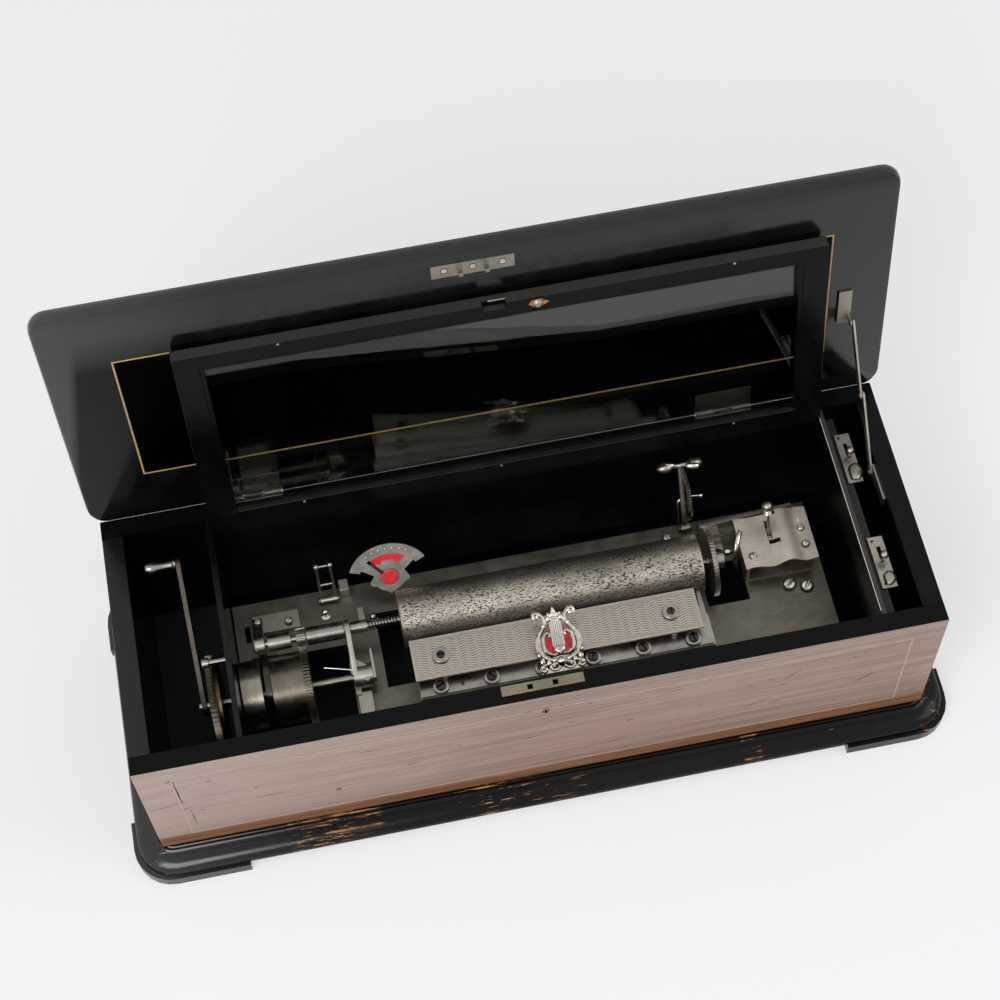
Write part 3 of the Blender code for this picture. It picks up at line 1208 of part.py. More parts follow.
def winding_work():
    wheel_x = LEFT_PARTITION_X - RATCHET_OUT - RATCHET_THICK
    rod_hole = WINDING_ROD + RUNNING_GAP
    disc = turned("x", BARREL_CENTRE, ((wheel_x + RATCHET_THICK - LAP, BACKING_DISC),
                                       (wheel_x + RATCHET_THICK + BACKING_DISC_THICK, BACKING_DISC)))
    piece("ratchet_wheel", "brass", prism("x", ratchet_outline(), wheel_x, wheel_x + RATCHET_THICK),
          add=[disc], cut=[rod((wheel_x - OVERRUN, *BARREL_CENTRE), (LEFT_PARTITION_X, *BARREL_CENTRE),
                               rod_hole, ROUND)], pivot=(wheel_x, *BARREL_CENTRE))

    lever_x = LEFT_PARTITION_X - LEVER_OUT
    grip = toward(BARREL_CENTRE, LEVER_REACH, math.radians(LEVER_DEGREES))
    arm = prism("x", capsule(BARREL_CENTRE, grip, LEVER_HUB, LEVER_TIP, THIN), lever_x,
                lever_x + LEVER_THICK)
    pin = rod((lever_x - HANDLE_LENGTH / 2, *grip), (lever_x + LAP, *grip), HANDLE_PIN)
    piece("winding_lever", "nickel", arm, add=[pin],
          cut=[rod((lever_x - OVERRUN, *BARREL_CENTRE), (lever_x + LEVER_THICK + OVERRUN,
                                                         *BARREL_CENTRE), rod_hole)],
          pivot=(lever_x, *BARREL_CENTRE))

    near = lever_x - RUNNING_GAP
    along = HANDLE_LENGTH
    profile_shares = ((0.0, 0.8), (0.05, 0.95), (0.12, 0.66), (0.35, 0.62), (0.55, 0.72), (0.70, 0.90),
                      (0.82, 1.0), (0.95, 0.76), (1.0, 0.34))
    handle = [(near - along * out_share, HANDLE_BALL * radius_share) for out_share,
              radius_share in profile_shares]
    piece("winding_handle", "nickel", turned("x", grip, handle, MEDIUM),
          cut=[rod((lever_x - HANDLE_LENGTH / 2 - RUNNING_GAP, *grip), (near + OVERRUN, *grip),
                   HANDLE_PIN + RUNNING_GAP)], pivot=(near, *grip))

    hub = pawl_hub()
    tip = pawl_tip()
    arm = prism("x", capsule(hub, tip, PAWL_HUB, PAWL_TIP), wheel_x + SEAM,
                wheel_x + RATCHET_THICK - SEAM)
    stud = rod((wheel_x + LAP, *hub), (LEFT_PARTITION_X + PARTITION / 2, *hub), PAWL_PIN)
    piece("click_pawl", "steel", arm, add=[stud], pivot=(wheel_x, *hub))


def pawl_tip():
    return toward(BARREL_CENTRE, RATCHET_ROOT + PAWL_TIP + PAWL_LIFT, PAWL_CONTACT + PAWL_BACK)


def pawl_hub():
    return toward(pawl_tip(), PAWL_LENGTH, PAWL_CONTACT + math.pi / 2 - math.radians(PAWL_LEAN_DEGREES))


# Cylinder

def cylinder_parts():
    pinion_x = WHEEL_X - PINION_MARGIN
    pinion_end = WHEEL_X + GREAT_WHEEL_THICK + PINION_MARGIN
    drum = BED_LEFT + LEFT_DRUM_START
    collar = STAND_LEFT + STAND_THICK + SIDE_PLAY
    gear_end = GEAR_X + GEAR_THICK
    profile = ((BED_LEFT + LEFT_BRACKET_START, ARBOR_ROD), (drum, ARBOR_ROD), (drum, LEFT_DRUM_RADIUS),
               (drum + LEFT_DRUM_LENGTH, LEFT_DRUM_RADIUS), (drum + LEFT_DRUM_LENGTH, ARBOR_ROD),
               (pinion_end + SIDE_PLAY, ARBOR_ROD), (pinion_end + SIDE_PLAY, SLEEVE_RADIUS),
               (STAND_LEFT - SIDE_PLAY, SLEEVE_RADIUS), (STAND_LEFT - SIDE_PLAY, SLEEVE_ROD),
               (collar, SLEEVE_ROD), (collar, COLLAR_RADIUS), (collar + COLLAR_LENGTH, COLLAR_RADIUS),
               (collar + COLLAR_LENGTH, ARBOR_ROD), (GEAR_X - SIDE_PLAY, ARBOR_ROD),
               (GEAR_X - SIDE_PLAY, COLLAR_RADIUS), (RIGHT_BRACKET_X - SIDE_PLAY, COLLAR_RADIUS),
               (RIGHT_BRACKET_X - SIDE_PLAY, ARBOR_ROD), (RIGHT_BRACKET_X + RIGHT_BRACKET_THICK,
                                                          ARBOR_ROD))
    to_barrel = direction(ARBOR_CENTRE, BARREL_CENTRE) + math.pi / PINION_TEETH
    pinion = gear(pinion_x, pinion_end, ARBOR_CENTRE, PINION_TEETH, PINION_PITCH, to_barrel)
    wheel = gear(GEAR_X, gear_end, ARBOR_CENTRE, GEAR_TEETH, GEAR_PITCH,
                 direction(ARBOR_CENTRE, GOVERNOR_CENTRE))
    piece("cylinder_arbor", "steel", turned("x", ARBOR_CENTRE, profile, MEDIUM), add=[pinion, wheel],
          pivot=(drum, *ARBOR_CENTRE))

    bore = ARBOR_ROD + RUNNING_GAP
    step = CYLINDER_CAP_STEP
    edge = CYLINDER_RADIUS - step
    shell = ((CYLINDER_X, bore), (CYLINDER_X, edge), (CYLINDER_X + step, CYLINDER_RADIUS),
             (CYLINDER_END - step, CYLINDER_RADIUS), (CYLINDER_END, edge), (CYLINDER_END, bore))
    piece("cylinder", "nickel", turned("x", ARBOR_CENTRE, shell, FINE, closed=True),
          pivot=(CYLINDER_X, *ARBOR_CENTRE))
    coil(collar + COLLAR_LENGTH + SEAM)


def coil(start):
    """One tube from the collar to the cylinder, with straight ends along the arbor."""
    end = CYLINDER_X - SEAM
    first = start + COIL_WIRE
    last = end - COIL_WIRE
    count = COIL_TURNS * COIL_POINTS
    path = [(start, *toward(ARBOR_CENTRE, COIL_RADIUS, 0.0))]
    for i in range(count + 1):
        path.append((first + (last - first) * i / count, *toward(ARBOR_CENTRE, COIL_RADIUS,
                                                                 2 * math.pi * i / COIL_POINTS)))
    path.append((end, *toward(ARBOR_CENTRE, COIL_RADIUS, 0.0)))
    turn_apart = COIL_POINTS - 1
    gaps = [math.dist(a, b) for i, a in enumerate(path) for b in path[i + turn_apart:]]
    print(f"arbor_spring: least gap to itself {1000 * (min(gaps) - COIL_WIRE):.2f} mm")
    piece("arbor_spring", "spring steel", tube(path, COIL_WIRE / 2), pivot=(start, *ARBOR_CENTRE))


# Governor

def governor():
    x, wide = GOVERNOR_X, GOVERNOR_X + GOVERNOR_WIDTH
    cheek = GOVERNOR_CHEEK
    base = ON_BED + GOVERNOR_BASE
    outline = ((x, ON_BED), (wide, ON_BED), (wide, GOVERNOR_TOP), (wide - cheek, GOVERNOR_TOP),
               (wide - cheek, base), (x + cheek, base), (x + cheek, GOVERNOR_TOP), (x, GOVERNOR_TOP))
    holes = [rod((x - OVERRUN, *centre), (wide + OVERRUN, *centre), radius + RUNNING_GAP)
             for centre, radius in ((GOVERNOR_CENTRE, GOVERNOR_ROD), (FLY_CENTRE, FLY_ROD))]
    piece("governor_frame", "nickel", prism("y", outline, GOVERNOR_FRONT, GOVERNOR_BACK), cut=holes)

    wheel_x = x + GOVERNOR_WHEEL_OUT
    toward_fly = direction(GOVERNOR_CENTRE, FLY_CENTRE)
    shaft = turned("x", GOVERNOR_CENTRE, ((GEAR_X - SIDE_PLAY, GOVERNOR_ROD), (wide, GOVERNOR_ROD)),
                   SMALL)
    pinion = gear(GEAR_X - SEAM, GEAR_X + GEAR_THICK + SEAM, GOVERNOR_CENTRE, GOVERNOR_PINION_TEETH,
                  GOVERNOR_PINION_PITCH, direction(GOVERNOR_CENTRE,
                                                   ARBOR_CENTRE) + math.pi / GOVERNOR_PINION_TEETH)
    wheel = gear(wheel_x, wheel_x + GOVERNOR_WHEEL_THICK, GOVERNOR_CENTRE, GOVERNOR_WHEEL_TEETH,
                 GOVERNOR_WHEEL_PITCH, toward_fly)
    piece("governor_wheel", "brass", shaft, add=[pinion, wheel], pivot=(wheel_x, *GOVERNOR_CENTRE))

    fly_x = wheel_x + GOVERNOR_WHEEL_THICK + 2 * SIDE_PLAY
    shaft = turned("x", FLY_CENTRE, ((x, FLY_ROD), (wide, FLY_ROD)), SMALL)
    pinion = gear(wheel_x - SEAM, wheel_x + GOVERNOR_WHEEL_THICK + SEAM, FLY_CENTRE, FLY_TEETH,
                  FLY_PINION_PITCH, direction(FLY_CENTRE, GOVERNOR_CENTRE) + math.pi / FLY_TEETH)
    y, z = FLY_CENTRE
    blades = [box((fly_x, y - FLY_RADIUS, z - FLY_BLADE / 2), (fly_x + FLY_LENGTH, y + FLY_RADIUS,
                                                               z + FLY_BLADE / 2)),
              box((fly_x + LAP, y - FLY_BLADE / 2, z - FLY_RADIUS), (fly_x + FLY_LENGTH - LAP,
                                                                     y + FLY_BLADE / 2, z + FLY_RADIUS))]
    piece("fly", "brass", shaft, add=[pinion] + blades, pivot=(fly_x, *FLY_CENTRE))
    governor_cover()


def governor_cover():
    """Thin plate with a wavy outline and a hump at its right, on top of the two cheeks."""
    foot = GOVERNOR_TOP + SEAM
    rings = []
    for i in range(MEDIUM + 1):
        share = i / MEDIUM
        x = GOVERNOR_X - SIDE_PLAY + (GOVERNOR_WIDTH + 2 * SIDE_PLAY) * share
        along_hump = min(max((share - HUMP_START_SHARE) / HUMP_LENGTH_SHARE, 0.0), 1.0)
        hump = COVER_WAVE * math.sin(math.pi * along_hump)
        front = GOVERNOR_FRONT - SIDE_PLAY + COVER_EDGE_WAVE * math.sin(4 * math.pi * share)
        back = GOVERNOR_BACK + SIDE_PLAY - COVER_EDGE_WAVE * math.sin(2 * math.pi * share)
        low = foot + hump
        rings.append([(x, front, low), (x, back, low), (x, back, low + COVER_THICK),
                      (x, front, low + COVER_THICK)])
    x, y = SPEED_AT[:2]
    half = SLOT_WIDTH / 2
    high = foot + COVER_THICK + COVER_WAVE + OVERRUN
    front = y - SLOT_LENGTH / 3
    slot = prism("z", ((x - half, front), (x - half, front + SLOT_LENGTH),
                       (x + half, front + SLOT_LENGTH), (x + half, front + SLOT_WIDTH),
                       (x + SLOT_LENGTH / 3, front + SLOT_WIDTH), (x + SLOT_LENGTH / 3, front)),
                 foot - LAP, high)
    screws, _ = screw_heads([(GOVERNOR_X + sx, sy) for sx, sy in COVER_SCREWS],
                            foot + COVER_THICK - SEAM, SMALL_SCREW)
    ears = clevis(*SPEED_AT, SPEED_HUB_WIDTH, foot + LAP)
    piece("governor_cover", "nickel", loft(rings), add=[screws] + ears, cut=[slot])


def leaning_lever(name, at, hub_radius, hub_width, reach, lean, stem, knobs):
    """A lever that leans back from its hub. knobs is a list of shapes at its top."""
    x, y, z = at
    top = (x, y + reach * math.sin(lean), z + reach * math.cos(lean))
    hub = turned("x", (y, z), ((x - hub_width / 2, hub_radius), (x + hub_width / 2, hub_radius)), SMALL)
    hole = rod((x - hub_width, y, z), (x + hub_width, y, z), CLEVIS_PIN + RUNNING_GAP)
    stem_shape = rod((x, y + hub_radius * math.sin(lean) * HUB_BITE_SHARE,
                      z + hub_radius * math.cos(lean) * HUB_BITE_SHARE), top, stem, THIN)
    piece(name, "nickel", hub, add=[stem_shape] + knobs(top), cut=[hole], pivot=at)


def small_levers():
    def speed_knobs(top):
        x, y, z = top
        neck = (x, y - SPEED_COLLAR * math.sin(SPEED_LEAN), z - SPEED_COLLAR * math.cos(SPEED_LEAN))
        return [ball(top, SPEED_BALL), rod(neck, top, SPEED_COLLAR, SMALL, SPEED_COLLAR / 2)]

    def change_knobs(top):
        x, y, z = top
        half = CHANGE_SPAN / 2
        bar = rod((x - half, y, z), (x + half, y, z), CHANGE_STEM, THIN)
        ends = [ball((x + side * half, y, z), CHANGE_BALL, SMALL, OLIVE_STRETCH) for side in (-1, 1)]
        return [bar, together(*ends), ball(top, CHANGE_BALL * HUB_BITE_SHARE)]

    leaning_lever("speed_lever", SPEED_AT, CLEVIS_RADIUS, SPEED_HUB_WIDTH, SPEED_REACH, SPEED_LEAN,
                  SPEED_ROD, speed_knobs)
    leaning_lever("change_lever", CHANGE_AT, CHANGE_HUB, CHANGE_HUB_WIDTH, CHANGE_REACH, CHANGE_LEAN,
                  CHANGE_STEM, change_knobs)
    repeat_lever()
    detent()


def repeat_lever():
    """Two bars joined at the top and in the middle, with a small ball at the top."""
    x, y, z = REPEAT_AT
    lean = math.radians(REPEAT_LEAN_DEGREES)
    half = REPEAT_WIDTH / 2 - REPEAT_BAR / 2
    rise = (math.sin(lean), math.cos(lean))

    def on_frame(side, share):
        return (x + side * half, y + REPEAT_HEIGHT * share * rise[0],
                z + REPEAT_HEIGHT * share * rise[1])

    hub = turned("x", (y, z), ((x - REPEAT_WIDTH / 2, CLEVIS_RADIUS),
                               (x + REPEAT_WIDTH / 2, CLEVIS_RADIUS)), SMALL)
    bars = [rod(on_frame(side, REPEAT_FOOT_SHARE), on_frame(side, 1.0), REPEAT_BAR / 2, THIN)
            for side in (-1, 1)]
    ties = [rod(on_frame(-1, share), on_frame(1, share), REPEAT_BAR / 2 - SEAM / 2, THIN)
            for share in REPEAT_TIE_SHARES]
    balls = [ball(on_frame(side, 1.0), REPEAT_BALL) for side in (-1, 1)]
    piece("repeat_lever", "nickel", hub, add=[together(*bars), together(*ties), together(*balls)],
          cut=[rod((x - REPEAT_WIDTH, y, z), (x + REPEAT_WIDTH, y, z), CLEVIS_PIN + RUNNING_GAP)],
          pivot=REPEAT_AT)


def detent():
    """Pointed blade on a pin of the middle bracket. It stops the cylinder at the end of a tune."""
    x = STAND_LEFT + BOSS_LENGTH + SEAM
    tip = toward(DETENT_CENTRE, DETENT_REACH, math.radians(DETENT_DEGREES))
    blade = prism("x", capsule(DETENT_CENTRE, tip, DETENT_HUB, DETENT_TIP), x, x + DETENT_THICK)
    hole = rod((x - OVERRUN, *DETENT_CENTRE), (x + DETENT_THICK + OVERRUN, *DETENT_CENTRE),
               DETENT_PIN + RUNNING_GAP)
    piece("detent_blade", "steel", blade, cut=[hole], pivot=(x, *DETENT_CENTRE))


# Comb, zither and lyre

def comb_parts():
    piece("comb_base", "nickel", box((COMB_BASE_X, COMB_FRONT_Y, ON_BED), (COMB_END, COMB_BASE_BACK,
                                                                           COMB_BASE_TOP)))
    low = COMB_BASE_TOP + SEAM
    body_back = COMB_TIP_Y - COMB_TOOTH_LENGTH
    left = COMB_BASE_X + COMB_MARGIN
    pitch = (COMB_LENGTH - 2 * COMB_MARGIN) / COMB_TEETH
    outline = [(left, COMB_FRONT_Y + COMB_MARGIN)]
    for tooth in range(COMB_TEETH):
        root_from = left + pitch * tooth
        root_to = root_from + pitch * COMB_ROOT_SHARE
        narrow = pitch * COMB_TAPER_SHARE
        outline += [(root_from, body_back), (root_from + narrow, COMB_TIP_Y),
                    (root_to - narrow, COMB_TIP_Y), (root_to, body_back)]
    outline.append((left + pitch * (COMB_TEETH - 1) + pitch * COMB_ROOT_SHARE,
                    COMB_FRONT_Y + COMB_MARGIN))
    count = round(COMB_LENGTH / COMB_SCREW_SPACING)
    first = (COMB_BASE_X + COMB_END - COMB_SCREW_SPACING * (count - 1)) / 2
    spots = [(first + COMB_SCREW_SPACING * i, COMB_FRONT_Y + COMB_SCREW_INSET) for i in range(count)]
    heads, slots = screw_heads(spots, COMB_TOP, COMB_SCREW)
    piece("comb", "steel", prism("z", outline, low, COMB_TOP), add=[heads], cut=[slots])

    plate = box((COVER_X, COVER_FRONT_Y, COVER_FOOT), (COVER_END, COVER_BACK_Y, COVER_TOP))
    post_y = COMB_FRONT_Y + COMB_SCREW_INSET + COMB_SCREW + COVER_POST + SIDE_PLAY
    places = (COVER_X + COVER_SCREW_INSET, COVER_END - COVER_SCREW_INSET)
    posts = [rod((px, post_y, COMB_TOP + SEAM), (px, post_y, COVER_FOOT + LAP), COVER_POST)
             for px in places]
    heads, _ = screw_heads([(px, (COVER_FRONT_Y + COVER_BACK_Y) / 2) for px in places], COVER_TOP)
    slide = LYRE_STUD + RUNNING_GAP
    slot = box((LYRE_X - slide, LYRE_Y - LYRE_TRAVEL - slide, COVER_FOOT - OVERRUN),
               (LYRE_X + slide, LYRE_Y + slide, COVER_TOP + OVERRUN))
    piece("zither_cover", "nickel", plate, add=[together(*posts), heads], cut=[slot])
    lyre()


def lyre():
    """Lyre-shaped handle of the zither, on a stud that slides forward in the cover."""
    tilt = math.radians(LYRE_TILT_DEGREES)
    centre_z = COVER_TOP + LYRE_RISE

    def spot(across_share, up_share):
        up = LYRE_HEIGHT * up_share
        return (LYRE_X + LYRE_WIDTH * across_share, LYRE_Y + up * math.cos(tilt),
                centre_z + up * math.sin(tilt))

    arm_shares = ((0.10, -0.40), (0.30, -0.33), (0.43, -0.18), (0.44, -0.02), (0.30, 0.14), (0.20, 0.27),
                  (0.26, 0.40), (0.42, 0.44), (0.46, 0.36))
    arms = [tube([spot(side * across, up) for across, up in arm_shares], LYRE_BAR / 2)
            for side in (-1, 1)]
    bar = tube([spot(-0.26, 0.24), spot(0.0, 0.27), spot(0.26, 0.24)], LYRE_BAR / 2 - SEAM)
    strings = [tube([spot(across, -0.40), spot(across, 0.26)], LYRE_STRING, 4)
               for across in (-0.07, 0.0, 0.07)]
    foot = tube([spot(-0.24, -0.41), spot(0.24, -0.41)], LYRE_BAR / 2 + SEAM)
    base = tube([spot(0.0, -0.36), spot(0.0, -0.48)], LYRE_BAR)
    stud = rod((LYRE_X, LYRE_Y, COVER_FOOT + SEAM), (LYRE_X, LYRE_Y, centre_z), LYRE_STUD)
    bridge = tube([spot(-0.12, 0.0), spot(0.12, 0.0)], LYRE_STUD)
    piece("lyre_handle", "silver", arms[0], add=[arms[1], bar, foot, base, together(*strings), bridge,
                                                 stud], pivot=(LYRE_X, LYRE_Y, COVER_TOP))


# Tune indicator

def dial_point(reach, angle, height):
    """A point in front of the sloping dial: angle runs from +X up the slope."""
    slope = math.radians(DIAL_SLOPE_DEGREES)
    up = reach * math.sin(angle)
    x, y, z = DIAL_AT
    return (x + reach * math.cos(angle), y + up * math.cos(slope) - height * math.sin(slope),
            z + up * math.sin(slope) + height * math.cos(slope))


def dial():
    first = math.radians(DIAL_FROM_DEGREES)
    last = math.radians(DIAL_TO_DEGREES)
    arc = [first + (last - first) * i / MEDIUM for i in range(MEDIUM + 1)]
    ring = [(DIAL_RADIUS, angle) for angle in arc] + [(DIAL_RADIUS - DIAL_RING, angle)
                                                      for angle in arc[::-1]]
    plate = loft([[dial_point(reach, angle, height) for reach, angle in ring]
                  for height in (0.0, DIAL_THICK)])
    around = [2 * math.pi * i / ROUND for i in range(ROUND)]
    hub = loft([[dial_point(DIAL_HUB, angle, height) for angle in around]
                for height in (SEAM / 2, DIAL_THICK - SEAM / 2)])
    spokes = []
    for share in DIAL_SPOKE_SHARES:
        middle = first + (last - first) * share
        half = DIAL_SPOKE / 2
        corners = []
        for reach in (DIAL_HUB - 2 * LAP, DIAL_RADIUS - DIAL_RING + 2 * LAP):
            corners.append((reach, half / reach))
        strip = [(corners[0][0], middle - corners[0][1]), (corners[1][0], middle - corners[1][1]),
                 (corners[1][0], middle + corners[1][1]), (corners[0][0], middle + corners[0][1])]
        spokes.append(loft([[dial_point(reach, angle, height) for reach, angle in strip]
                            for height in (SEAM / 3, DIAL_THICK - SEAM / 3)]))
    x, y, z = DIAL_AT
    post = rod((x, y + DIAL_POST, ON_BED), (x, y + DIAL_POST, z), DIAL_POST / 2)
    boss = rod((x, y + DIAL_POST, z), dial_point(0.0, 0.0, DIAL_THICK / 2), DIAL_POST / 2)
    foot = rod((x, y + DIAL_POST, ON_BED), (x, y + DIAL_POST, ON_BED + CRADLE_FOOT_THICK / 2),
               DIAL_FOOT / 2)
    hole = rod(dial_point(0.0, 0.0, -OVERRUN), dial_point(0.0, 0.0, DIAL_THICK + OVERRUN),
               POINTER_PIN + RUNNING_GAP)
    piece("tune_dial", "nickel", plate, add=[together(*spokes), hub, boss, post, foot], cut=[hole])

    low = DIAL_THICK + SEAM
    high = low + DIAL_THICK
    aim = math.radians(POINTER_DEGREES)
    side = math.atan2(POINTER_WIDTH, DIAL_POST)
    blade = [(DIAL_POST, aim + side), (DIAL_POST, aim - side),
             (POINTER_LENGTH, aim - POINTER_WIDTH / POINTER_LENGTH / 2),
             (POINTER_LENGTH, aim + POINTER_WIDTH / POINTER_LENGTH / 2)]
    outline = [(DIAL_POST, aim + math.pi), blade[1], blade[2], blade[3], blade[0]]
    needle = loft([[dial_point(reach, angle, height) for reach, angle in outline]
                   for height in (low, high)])
    pin = rod(dial_point(0.0, 0.0, 0.0), dial_point(0.0, 0.0, high + SEAM), POINTER_PIN)
    piece("tune_pointer", "steel", needle, add=[pin], pivot=DIAL_AT)


# Controls of the right compartment

def controls():
    ledge_x = RIGHT_PARTITION_X + PARTITION
    slot_x = ledge_x + CONTROL_LEDGE_WIDTH + CONTROL_SLOT_OUT
    low = LEDGE_TOP + SEAM
    high = low + CONTROL_PLATE_THICK
    places = ((INNER_Y - CONTROL_BACK_INSET, "back"), (-INNER_Y + CONTROL_FRONT_INSET, "front"))
    for place, side in places:
        half = CONTROL_PLATE_LENGTH / 2
        wide = CONTROL_PLATE_WIDTH
        right = slot_x + CONTROL_SLOT / 2 + wide / 3
        plate = box((right - wide, place - half, low), (right, place + half, high))
        dome = ball((slot_x + CONTROL_SLOT / 2, place - half / 2, high), CONTROL_DOME, SMALL,
                    DOME_STRETCH)
        lever_y = place + CONTROL_LEVER_OFFSET
        room = CONTROL_PIN + SIDE_PLAY / 2
        slot = box((slot_x - CONTROL_SLOT / 2, lever_y - room, low - OVERRUN),
                   (slot_x + CONTROL_SLOT / 2, lever_y + CONTROL_TRAVEL + room, high + OVERRUN * 3))
        piece(f"control_plate_{side}", "nickel", plate, add=[trimmed(dome, low + SEAM)], cut=[slot])
        foot = box((slot_x - CONTROL_SLOT / 2 - SEAM, lever_y - 2 * CONTROL_PIN,
                    low - SEAM - CONTROL_PLATE_THICK), (slot_x + CONTROL_SLOT, lever_y + 2 * CONTROL_PIN,
                                                        low - SEAM))
        stem = rod((slot_x, lever_y, low - CONTROL_PLATE_THICK),
                   (slot_x, lever_y, high + CONTROL_BALL_RISE), CONTROL_PIN)
        knob = ball((slot_x, lever_y, high + CONTROL_BALL_RISE), CONTROL_BALL)
        piece(f"control_lever_{side}", "nickel", foot, add=[stem, knob], pivot=(slot_x, lever_y, high))


def trimmed(shape, floor):
    """Keeps a shape above a level, by lifting its lower points to it."""
    points, faces = shape
    return [(x, y, max(z, floor)) for x, y, z in points], faces


# Order of making

def build():
    global root, lid_axis
    clear_scene()
    root = bpy.data.objects.new("music_box", None)
    bpy.context.scene.collection.objects.link(root)
    root.location = (0.0, (FRONT_REACH - BACK_REACH) / 2, 0.0)
    lid_axis = axis_empty("lid_axis", (0.0, LID_AXIS_Y, LID_AXIS_Z), -LID_OPEN)
    glass_axis = axis_empty("glass_axis", (0.0, GLASS_AXIS_Y, GLASS_AXIS_Z), -GLASS_OPEN)
    case()
    lid(lid_axis)
    lock()
    glass_lid(glass_axis)
    stay()
    bedplate()
    brackets()
    barrel()
    winding_arbor()
    winding_work()
    cylinder_parts()
    governor()
    small_levers()
    comb_parts()
    dial()
    controls()


build()
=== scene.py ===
import math
import random

import bmesh
import bpy
from mathutils import Matrix, Vector


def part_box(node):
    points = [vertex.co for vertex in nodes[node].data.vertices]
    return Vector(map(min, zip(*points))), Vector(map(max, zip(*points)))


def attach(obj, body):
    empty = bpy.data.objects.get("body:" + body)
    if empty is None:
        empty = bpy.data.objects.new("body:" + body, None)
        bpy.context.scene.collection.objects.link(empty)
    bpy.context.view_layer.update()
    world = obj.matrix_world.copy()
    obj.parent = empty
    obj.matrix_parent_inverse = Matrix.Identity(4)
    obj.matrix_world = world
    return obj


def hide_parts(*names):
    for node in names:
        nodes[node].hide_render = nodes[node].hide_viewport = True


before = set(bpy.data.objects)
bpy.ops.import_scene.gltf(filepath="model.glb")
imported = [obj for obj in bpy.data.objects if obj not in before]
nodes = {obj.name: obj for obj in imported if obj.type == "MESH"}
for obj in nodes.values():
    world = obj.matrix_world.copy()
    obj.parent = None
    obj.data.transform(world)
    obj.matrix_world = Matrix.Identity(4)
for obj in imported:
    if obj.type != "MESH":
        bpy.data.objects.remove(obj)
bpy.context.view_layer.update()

# Music box looks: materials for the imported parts, then fine pieces on them, then floor, lamps and camera.
# Everything is in metres at its real place. X runs along the case and the front faces -Y.

mm = 0.001
rightWay = Vector((1, 0, 0))
backWay = Vector((0, 1, 0))
upWay = Vector((0, 0, 1))


# Material tools

def linear(hexColour):
    parts = [int(hexColour[i:i + 2], 16) / 255 for i in (1, 3, 5)]
    return [p / 12.92 if p <= 0.04045 else ((p + 0.055) / 1.055) ** 2.4 for p in parts] + [1]


def addNode(tree, kind, settings=None, links=None):
    # settings and links are keyed by socket name or number, or by the node's own property
    node = tree.nodes.new("ShaderNode" + kind)
    for key, value in (settings or {}).items():
        if key == "stops":
            ramp = node.color_ramp
            while len(ramp.elements) < len(value):
                ramp.elements.new(0.5)
            for element, (place, colour) in zip(ramp.elements, value):
                element.position = place
                element.color = linear(colour)
        elif isinstance(key, int) or key in node.inputs:
            node.inputs[key].default_value = linear(value) if isinstance(value, str) else value
        else:
            setattr(node, key, value)
    for key, source in (links or {}).items():
        tree.links.new(source, node.inputs[key])
    return node


def startMaterial(name, settings):
    material = bpy.data.materials.new(name)
    material.use_nodes = True
    tree = material.node_tree
    shader = tree.nodes["Principled BSDF"]
    for key, value in settings.items():
        shader.inputs[key].default_value = linear(value) if isinstance(value, str) else value
    return material, tree, shader


def plugIn(shader, sources):
    for socket, source in sources.items():
        shader.id_data.links.new(source, shader.inputs[socket])


def cloudOf(tree, size, detail=4, roughness=0.55):
    # noise from 0 to 1 whose cells have the given size in mm, one number or one for each of x, y and z
    size = size if isinstance(size, (list, tuple)) else [size] * 3
    place = addNode(tree, "TexCoord").outputs["Object"]
    cells = [1 / (side * mm) for side in size]
    counted = addNode(tree, "VectorMath", {"operation": "MULTIPLY", 1: cells}, {0: place}).outputs[0]
    return addNode(tree, "TexNoise", {"Scale": 1, "Detail": detail, "Roughness": roughness},
                   {"Vector": counted}).outputs[0]


def ranged(value, low, high, toLow=0, toHigh=1):
    return addNode(value.id_data, "MapRange", {"From Min": low, "From Max": high, "To Min": toLow, "To Max": toHigh},
                   {"Value": value}).outputs[0]


def blended(factor, first, second):
    # first and second are hex colours or sockets
    settings, links = {"data_type": "RGBA"}, {0: factor}
    for key, colour in ((6, first), (7, second)):
        (settings if isinstance(colour, str) else links)[key] = colour
    return addNode(factor.id_data, "Mix", settings, links).outputs[2]


def along(tree, axis, output="Object"):
    # one world coordinate of the surface in metres: 0 is x, 1 is y and 2 is z
    return addNode(tree, "SeparateXYZ", {}, {0: addNode(tree, "TexCoord").outputs[output]}).outputs[axis]


def facing(tree, axis):
    # from -1 to 1, how far the surface faces one way of an axis
    return along(tree, axis, "Normal")


def joined(operation, first, *others):
    # a socket and then numbers or sockets, taken together from left to right
    for other in others:
        settings, links = {"operation": operation}, {}
        for key, value in ((0, first), (1, other)):
            (settings if isinstance(value, (int, float)) else links)[key] = value
        first = addNode(first.id_data, "Math", settings, links).outputs[0]
    return first


def multiplied(*values):
    return joined("MULTIPLY", *values)


def weighed(first, firstShare, second, secondShare):
    return joined("ADD", multiplied(first, firstShare), multiplied(second, secondShare))


def waved(place, everyMm):
    return joined("SINE", multiplied(place, 2 * math.pi / (everyMm * mm)), 0)


def bumpOn(shader, height, depthMm, strength):
    bump = addNode(shader.id_data, "Bump", {"Strength": strength, "Distance": depthMm * mm}, {"Height": height})
    plugIn(shader, {"Normal": bump.outputs[0]})


# Materials. Each dictionary holds the finish's colours and its real sizes in mm. A cover is the range of a
# noise over which a colour comes in, and at times how far it comes in. A bump is its depth in mm and its strength.

